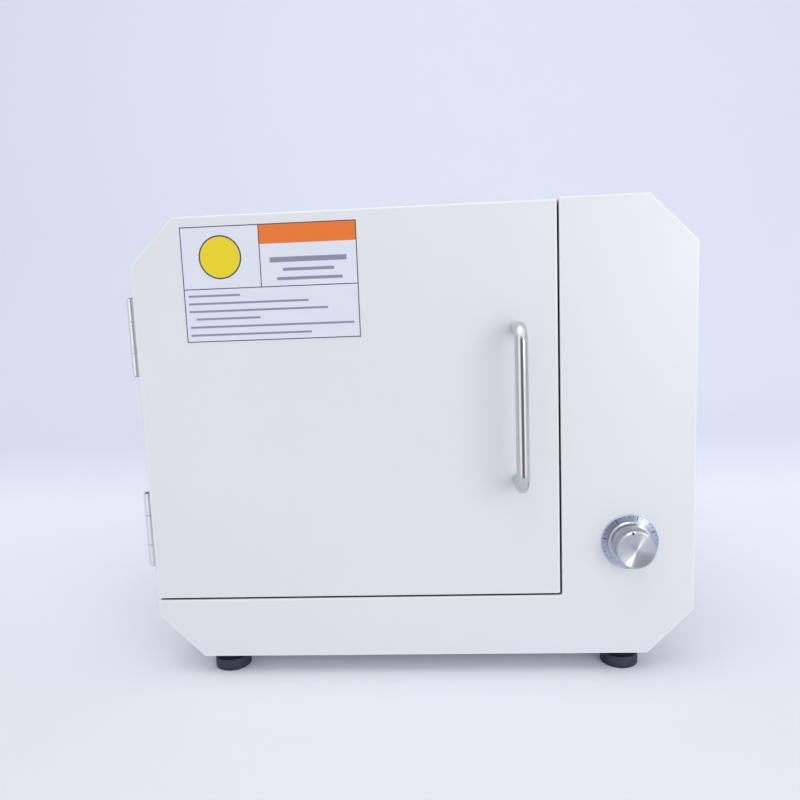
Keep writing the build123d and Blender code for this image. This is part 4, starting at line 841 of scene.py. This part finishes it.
# room, light and camera
room = {
    "paper": ("#EFF1F7", "#EEF0F9"), "wallAway": 0.75, "curve": 0.45, "width": 8.0, "height": 2.6,
    "front": 4.0, "blendHeight": 0.6, "cloudSize": 0.625, "cloudShare": 0.25,
    "beyond": "#DCE2F0", "fade": (1.6, 2.6), "worldStrength": 0.66, "nearFloor": (-0.4, -0.54),
    # painted light: a faint glow that only the camera sees, also through glass, pale on the far floor and bluer
    # towards the wall
    "wash": ("#5F6878", "#364963"), "washFrom": (-0.2, 0.3), "washTurn": (0.3, 0.7),
    # metal sees the room's bands in place of the soft lamp, and only what mirrors sees the spark
    "soft": {"place": (0.82, -1.38, 0.52), "aim": (0.0, -0.1, 0.15), "size": 1.0, "power": 5.9,
             "mirrored": False, "diffuse": True},
    "spark": {"place": (0.96, -1.29, 0.41), "aim": (0.14, -0.14, 0.09), "size": 0.34, "power": 7.5,
              "mirrored": True, "diffuse": False},
    "top": {"place": (-0.1, -0.45, 1.45), "aim": (0.0, 0.0, 0.15), "size": 1.0, "power": 4.2,
            "mirrored": True, "diffuse": True},
    # what metal sees round the room, by the angle from the camera's side, as a share of white
    "bandsFrom": (0.07, -0.16), "overhead": (0.4, 0.75), "overheadShare": 1.3,
    "bands": ((0, 0.2), (18, 0.24), (30, 1.35), (45, 1.4), (70, 0.7), (130, 0.75), (180, 0.9)),
}


def bandsAround(tree, side, ahead):
    # the brightness of the room at an angle from straight ahead of the object
    turned = addNode(tree, "ShaderNodeMath", {"operation": "ARCTAN2"}, {0: side, 1: ahead})
    away = addNode(tree, "ShaderNodeMath", {"operation": "ABSOLUTE"}, {0: turned.outputs["Value"]})
    share = addNode(tree, "ShaderNodeMath", {"operation": "DIVIDE", 1: math.pi}, {0: away.outputs["Value"]})
    bands = addNode(tree, "ShaderNodeValToRGB", {}, {"Fac": share.outputs["Value"]})
    bands.color_ramp.interpolation = "EASE"
    for index, (angle, value) in enumerate(room["bands"]):
        stop = bands.color_ramp.elements[index] if index < 2 else bands.color_ramp.elements.new(angle / 180)
        stop.position = angle / 180
        stop.color = (value, value, value, 1.0)
    return bands.outputs["Color"]


def seenByCamera(tree, kind):
    # 1 for what the camera sees, also through glass
    seen = addNode(tree, "ShaderNodeMath", {"operation": "MAXIMUM"},
                   {0: kind.outputs["Is Camera Ray"], 1: kind.outputs["Is Transmission Ray"]})
    return seen.outputs["Value"]


def buildRoom():
    leaveEdit()
    bpy.ops.mesh.primitive_plane_add(size=1, location=(0, 0, 0))
    bpy.context.object.scale = (room["width"], room["front"] * 2, 1)
    sweep = keepPlace("studioSweep")
    # the far edge is drawn up into a wall, with a wide curve between
    farY = room["front"]
    pick(sweep, "EDGE", lambda a, b: near(a.y, farY) and near(b.y, farY))
    bpy.ops.transform.translate(value=(0, room["wallAway"] - farY, 0))
    bpy.ops.mesh.spin(steps=24, angle=-math.pi / 2, center=(0, room["wallAway"], room["curve"]), axis=(1, 0, 0))
    bpy.ops.mesh.extrude_region_move(TRANSFORM_OT_translate={"value": (0, 0, room["height"])})
    leaveEdit()
    smooth(sweep, 60)
    material, tree, surface, place = startMaterial("paleBackdropPaper", {"Roughness": 0.8})
    parts = addNode(tree, "ShaderNodeSeparateXYZ", {}, {0: place})
    rise = addNode(tree, "ShaderNodeMapRange", {"From Max": room["blendHeight"]}, {"Value": parts.outputs["Z"]})
    cloud = addNode(tree, "ShaderNodeTexNoise", {"Scale": 1 / room["cloudSize"], "Detail": 2.0}, {"Vector": place})
    blend = addNode(tree, "ShaderNodeMath", {"operation": "MULTIPLY_ADD", 1: room["cloudShare"]},
                    {0: cloud.outputs["Fac"], 2: rise.outputs["Result"]})
    tone = addNode(tree, "ShaderNodeMix", blendOf(room["paper"]), {0: blend.outputs["Value"]})
    connect(surface, {"Base Color": tone.outputs[2]})
    kind = addNode(tree, "ShaderNodeLightPath", {}, {})
    seen = seenByCamera(tree, kind)
    # painted light: the far floor and the wall glow faintly for the camera
    far = addNode(tree, "ShaderNodeMapRange", span("From", room["washFrom"]), {"Value": parts.outputs["Y"]})
    washed = addNode(tree, "ShaderNodeMath", {"operation": "MULTIPLY"},
                     {0: far.outputs["Result"], 1: seen})
    bluer = addNode(tree, "ShaderNodeMapRange", span("From", room["washTurn"]), {"Value": parts.outputs["Y"]})
    wash = addNode(tree, "ShaderNodeMix", blendOf(room["wash"]), {0: bluer.outputs["Result"]})
    connect(surface, {"Emission Color": wash.outputs[2], "Emission Strength": washed.outputs["Value"]})
    # past the near floor, metal sees the rest of the room in place of paper: a painted reflection, the floor glowing
    # with the room's bands for glossy rays
    past = addNode(tree, "ShaderNodeMapRange", span("From", room["nearFloor"]), {"Value": parts.outputs["Y"]})
    mirrored = addNode(tree, "ShaderNodeMath", {"operation": "MULTIPLY"},
                       {0: past.outputs["Result"], 1: kind.outputs["Is Glossy Ray"]})
    fromX, fromY = room["bandsFrom"]
    side = addNode(tree, "ShaderNodeMath", {"operation": "SUBTRACT", 1: fromX}, {0: parts.outputs["X"]})
    ahead = addNode(tree, "ShaderNodeMath", {"operation": "SUBTRACT", 0: fromY}, {1: parts.outputs["Y"]})
    bands = bandsAround(tree, side.outputs["Value"], ahead.outputs["Value"])
    glow = addNode(tree, "ShaderNodeEmission", {}, {"Color": bands})
    either = addNode(tree, "ShaderNodeMixShader", {}, {0: mirrored.outputs["Value"], 1: surface.outputs["BSDF"],
                                                       2: glow.outputs["Emission"]})
    # far off, the camera sees the paper run into the colour beyond it, so no edge shows from any side
    flat = addNode(tree, "ShaderNodeCombineXYZ", {}, {"X": parts.outputs["X"], "Y": parts.outputs["Y"]})
    reach = addNode(tree, "ShaderNodeVectorMath", {"operation": "LENGTH"}, {0: flat.outputs["Vector"]})
    distant = addNode(tree, "ShaderNodeMapRange", span("From", room["fade"]), {"Value": reach.outputs["Value"]})
    faded = addNode(tree, "ShaderNodeMath", {"operation": "MULTIPLY"},
                    {0: distant.outputs["Result"], 1: seen})
    beyond = addNode(tree, "ShaderNodeEmission", {"Color": linear(room["beyond"])}, {})
    whole = addNode(tree, "ShaderNodeMixShader", {}, {0: faded.outputs["Value"], 1: either.outputs["Shader"],
                                                      2: beyond.outputs["Emission"]})
    tree.links.new(whole.outputs["Shader"], tree.nodes["Material Output"].inputs["Surface"])
    sweep.data.materials.append(material)


def addLight(name, settings):
    leaveEdit()
    bpy.ops.object.light_add(type="AREA", location=settings["place"])
    light = bpy.context.object
    light.name = name
    light.data.shape = "DISK"
    light.data.size = settings["size"]
    light.data.energy = settings["power"]
    light.visible_glossy = settings["mirrored"]
    light.visible_diffuse = settings["diffuse"]
    light.rotation_euler = (Vector(settings["aim"]) - Vector(settings["place"])).to_track_quat("-Z", "Y").to_euler()


def lightWorld():
    world = bpy.data.worlds.new("softStudio")
    bpy.context.scene.world = world
    world.use_nodes = True
    tree = world.node_tree
    tree.nodes.clear()
    direction = addNode(tree, "ShaderNodeTexCoord", {}, {})
    parts = addNode(tree, "ShaderNodeSeparateXYZ", {}, {0: direction.outputs["Generated"]})
    ahead = addNode(tree, "ShaderNodeMath", {"operation": "MULTIPLY", 1: -1.0}, {0: parts.outputs["Y"]})
    bands = bandsAround(tree, parts.outputs["X"], ahead.outputs["Value"])
    kind = addNode(tree, "ShaderNodeLightPath", {}, {})
    # overhead the room is evenly bright
    steep = addNode(tree, "ShaderNodeMath", {"operation": "ABSOLUTE"}, {0: parts.outputs["Z"]})
    overhead = addNode(tree, "ShaderNodeMapRange", span("From", room["overhead"]),
                       {"Value": steep.outputs["Value"]})
    mirrored = addNode(tree, "ShaderNodeMix", {"data_type": "FLOAT", 3: room["overheadShare"]},
                       {0: overhead.outputs["Result"], 2: bands})
    level = addNode(tree, "ShaderNodeMix", {"data_type": "FLOAT", 2: room["worldStrength"]},
                    {0: kind.outputs["Is Glossy Ray"], 3: mirrored.outputs[0]})
    sky = addNode(tree, "ShaderNodeBackground", {"Color": linear("#FFFFFF")}, {"Strength": level.outputs[0]})
    backdrop = addNode(tree, "ShaderNodeBackground", {"Color": linear(room["beyond"]), "Strength": 1.0}, {})
    seen = seenByCamera(tree, kind)
    either = addNode(tree, "ShaderNodeMixShader", {}, {0: seen, 1: sky.outputs["Background"],
                                                       2: backdrop.outputs["Background"]})
    addNode(tree, "ShaderNodeOutputWorld", {}, {"Surface": either.outputs["Shader"]})


buildRoom()
lightWorld()
for lightName in ("soft", "spark", "top"):
    addLight(lightName + "Light", room[lightName])

# the camera stands where the cabinet's outline falls as in the photo
view = {"place": (0.02298, -0.56292, 0.23941), "turn": (82.588, 2.204, 3.33), "lens": 31.49, "sensor": 36.0,
        "nearest": 0.01}
cameraData = bpy.data.cameras.new("photoCamera")
camera = bpy.data.objects.new("photoCamera", cameraData)
bpy.context.collection.objects.link(camera)
camera.location = view["place"]
camera.rotation_euler = [math.radians(angle) for angle in view["turn"]]
cameraData.lens = view["lens"]
cameraData.sensor_width = view["sensor"]
cameraData.clip_start = view["nearest"]
bpy.context.scene.camera = camera
bpy.context.scene.view_settings.view_transform = "Standard"

leaveEdit()
